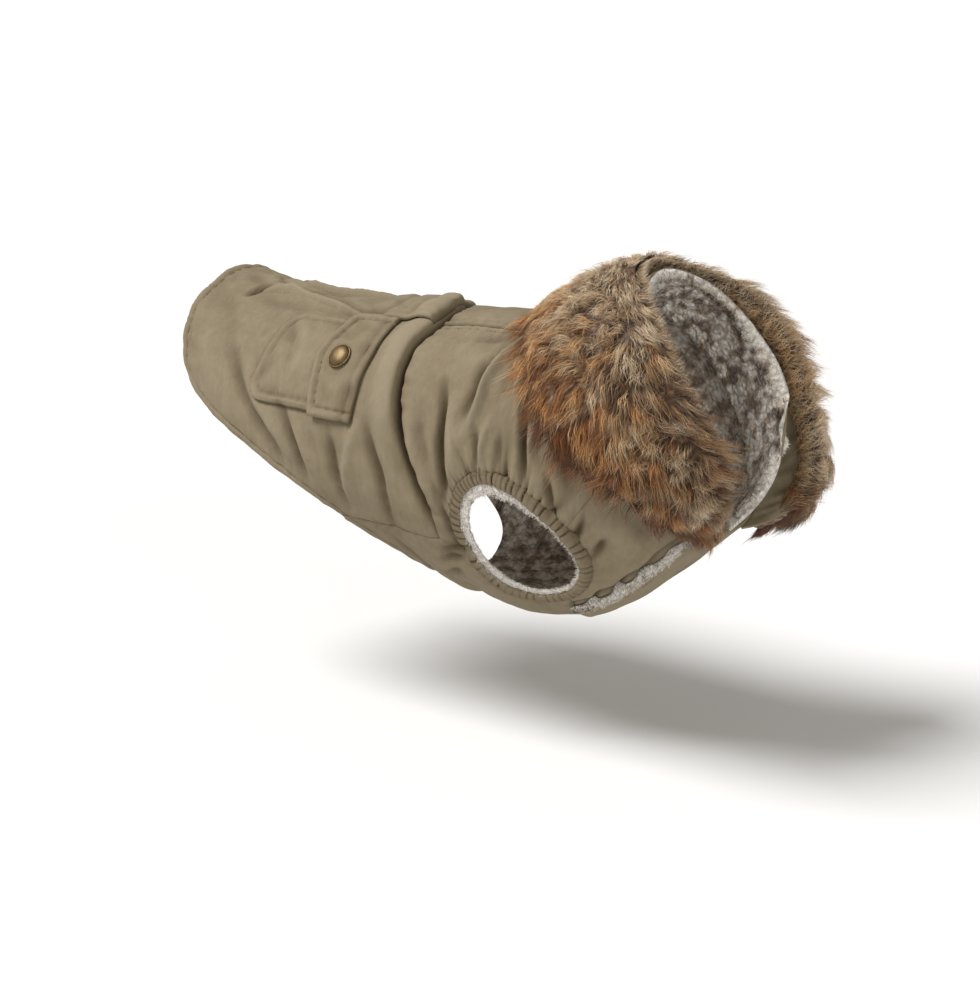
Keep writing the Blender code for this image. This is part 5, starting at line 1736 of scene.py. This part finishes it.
def pocketRows(side):
    # Two lines inside the pocket's sides and rear edge, which run on forward under the flap.
    rearEdge = pocketGrid()[2]
    first, last = rearEdge[0], rearEdge[-1]
    line = np.concatenate([np.stack([np.linspace(-90, first[0] + 4, 30), np.full(30, first[1])], 1), rearEdge,
                           np.stack([np.linspace(last[0] + 4, -90, 30), np.full(30, last[1])], 1)])
    rows = []
    for inside, out in zip(pocketValues["stitches"], (-0.9, 0.3)):
        station, angle = alongLine(smoothLine(line, 160), -inside)
        rows.append(stitchRow(station, side * angle, gap + thin + out))
    return rows


def flapRows(side):
    # One line inside each of the flap's edges.
    low, high, inset = flapValues["top"], flapValues["bottom"], flapValues["border"]
    angles = np.linspace(low + inset / degree, high - inset / degree, 90)
    rear = flapRear(angles, low) + inset * 1.03
    rows = [stitchRow(rear, side * angles, flapRise + thin - 0.6)]
    for turn in (angles[0], angles[-1]):
        station = np.linspace(rear[0] + 1, flapValues["front"] - 6, 50)
        rows.append(stitchRow(station, np.full(50, side * turn), flapBase(station) + thin - 0.65))
    front = np.full(80, flapValues["front"] - 6.0)
    return rows + [stitchRow(front, side * np.linspace(low + 5, high - 5, 80), 4 * gap + thin - 0.25)]


def allStitches():
    # Hem of the skirt and of the belly; on each side tucks, strip, armhole, pocket and flap; lap and belt.
    width = seamValues["hemWidth"]
    turns = np.linspace(-123, 123, 700)
    rows = [stitchRow(*alongLine(np.stack([rearHem(turns), turns], 1), -width), -0.32)]
    turns = np.linspace(127, 233, 300)
    line = np.stack([rearHem(180 - np.abs(turns - 180)), turns], 1)
    rows.append(stitchRow(*alongLine(line, -width), -0.32))
    tuck = np.linspace(-176, -62, 200)
    front = np.linspace(-26, 116, 240)
    for side in (1, -1):
        for away, out in ((-3.2, -1.2), (3.3, -0.5)):
            rows.append(stitchRow(tuck, side * (tuckLine(tuck) + away / degree), out))
        for away, out in ((-3.6, 0.5), (3.2, -0.1)):
            rows.append(stitchRow(front, np.full(front.shape, side * (strip + away / degree)), out))
        armStation, armAngle = armOval(np.linspace(0, facets, 700), -0.9)
        rows.append(stitchRow(armStation, side * armAngle, 1.0))
        rows += pocketRows(side) + flapRows(side)
    lap = np.linspace(62, 117, 120)
    rows.append(stitchRow(lap, np.full(120, armValues["lap"] - 360 + 4.2 / degree), cloth + 0.25))
    for side in (1, -1):
        belt = np.linspace(beltValues["rear"] + 4, -36, 60)
        rows.append(stitchRow(belt, np.full(60, side * (beltValues["halfAngle"] - 3.4)), 2.6))
    return makeStitches("topstitching", rows)


# Snap caps: the cap's place on the flap, its top, and its profile as distance from the middle, height and
# tarnish.
snapValues = dict(
    station=-74.5, angle=48.5, around=72, top=3.4,
    profile=np.array([
        (7.2, 0.0, 1), (7.6, .08, 1), (7.8, .35, .6), (7.8, .75, .3), (7.68, 1.0, .1), (7.4, 1.14, .1),
        (7.1, 1.12, .5), (6.95, 1.02, 1), (6.8, 1.06, 1), (6.6, 1.3, .6), (6.3, 1.62, .25), (5.8, 2.0, .1),
        (5.2, 2.36, 0),
        (4.4, 2.72, 0), (3.5, 3.0, 0), (2.6, 3.2, 0), (1.7, 3.33, 0), (0.8, 3.39, 0)]),
)


def makeSnap(name, side):
    # A profile carried round an axis that stands square to the cloth, closed by one point above and below.
    values = snapValues
    profile, around = values["profile"], values["around"]
    turn = np.arange(around) * 2 * np.pi / around
    middle = np.float64(values["station"]), np.float64(side * values["angle"])
    normal = formNormal(*middle)
    first = unit(np.cross(normal, (0.0, 0.0, 1.0)))
    second = np.cross(normal, first)
    seat = coatPoint(*middle, flapRise + thin + 0.05)
    ring = profile[:, None, :1] * (np.cos(turn)[None, :, None] * first + np.sin(turn)[None, :, None] * second)
    points = seat + (ring + profile[:, None, 1:2] * normal) * mm
    points = np.concatenate([points.reshape(-1, 3), [seat, seat + normal * values["top"] * mm]])
    count = len(profile) * around
    quads = gridFaces(len(profile), around, False, True)
    spin = np.arange(around)
    after = (spin + 1) % around
    lid = np.stack([after, spin, np.full(around, count + 1)], 1) + (count - around) * np.array([1, 1, 0])
    floor = np.stack([spin, after, np.full(around, count)], 1)
    faces = np.concatenate([quads[:, :3], quads[:, [0, 2, 3]], floor, lid])
    tarnish = np.concatenate([np.repeat(profile[:, 2], around), [1, 0]])
    return makeMesh(name, points, faces, looks["brass"], marks={"tarnish": tarnish})


def standFor(piece, slot, *nodes):
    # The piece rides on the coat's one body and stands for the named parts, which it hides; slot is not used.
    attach(piece, "root")
    for node in nodes:
        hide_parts(node)
    return piece


def makeCoat():
    made = {}

    def keep(piece, slot, *nodes):
        made[piece.name] = standFor(piece, slot, *nodes)
        return piece

    keep(makeBackSkirt(), "shell_cloth", "back_skirt")
    keep(makeCentreStrip(), "shell_cloth", "centre_back_strip")
    keep(makeBelly(), "shell_cloth", "belly_panel")
    keep(makeChest("chestFrontRight", 1, armValues["underlap"], 0), "shell_cloth", "chest_front_right")
    keep(makeChest("chestFrontLeft", -1, armValues["lap"] - 360, 5), "shell_cloth", "chest_front_left")
    print("body panels made")
    patches = []
    for word, node, side, seed in (("Right", "right", 1, 0), ("Left", "left", -1, 7)):
        keep(makeSideBody("sideBody" + word, side, seed), "shell_cloth", "side_body_" + node)
        keep(makeCasing("armholeCasing" + word, side, seed), "shell_cloth", "armhole_casing_" + node)
        fleece, points, lie, show = makeArmFleece("armholeFleece" + word, side, 150 + seed)
        keep(fleece, "pile_fleece", "armhole_fleece_" + node)
        patches.append((points, lie, show, fleeceValues["counts"]["arm"], None))
        keep(makePocket("pocket" + word, side, seed), "shell_cloth", "pocket_" + node)
        keep(makeFlap("pocketFlap" + word, side, seed), "shell_cloth", "pocket_flap_" + node)
        keep(makeSnap("snapCap" + word, side), "snap_brass", "snap_cap_" + node)
    keep(makeBelt(), "shell_cloth", "half_belt")
    print("sides, armholes, pockets and belt made")
    shell, fleece, face, lie, mottle, rim = makeCollar()
    keep(shell, "shell_cloth", "collar_shell")
    keep(fleece, "pile_fleece", "collar_fleece")
    patches.append((face, lie, rim, fleeceValues["counts"]["collar"], mottle))
    lap, points, lie, show, mottle = makeLapFleece()
    keep(lap, "pile_fleece", "chest_edge_fleece")
    patches.append((points, lie, show, fleeceValues["counts"]["lap"], mottle))
    hood, pad, facing = makeHood()
    keep(hood, "shell_cloth", "hood_shell")
    keep(pad, "fur_pile", "fur_trim")
    keep(facing, "shell_cloth")
    print("collar and hood made")
    keep(makePile(patches), "pile_fleece")
    for piece in makeFur():
        keep(piece, "fur_pile")
    print("pile and fur made")
    keep(allStitches(), "shell_cloth")
    print("stitches made")
    return made


coat = makeCoat()
total = 0
for title, piece in coat.items():
    mesh = piece.data
    mesh.calc_loop_triangles()
    total += len(mesh.loop_triangles)
    print(title, len(mesh.loop_triangles))
print("triangles in all", total)
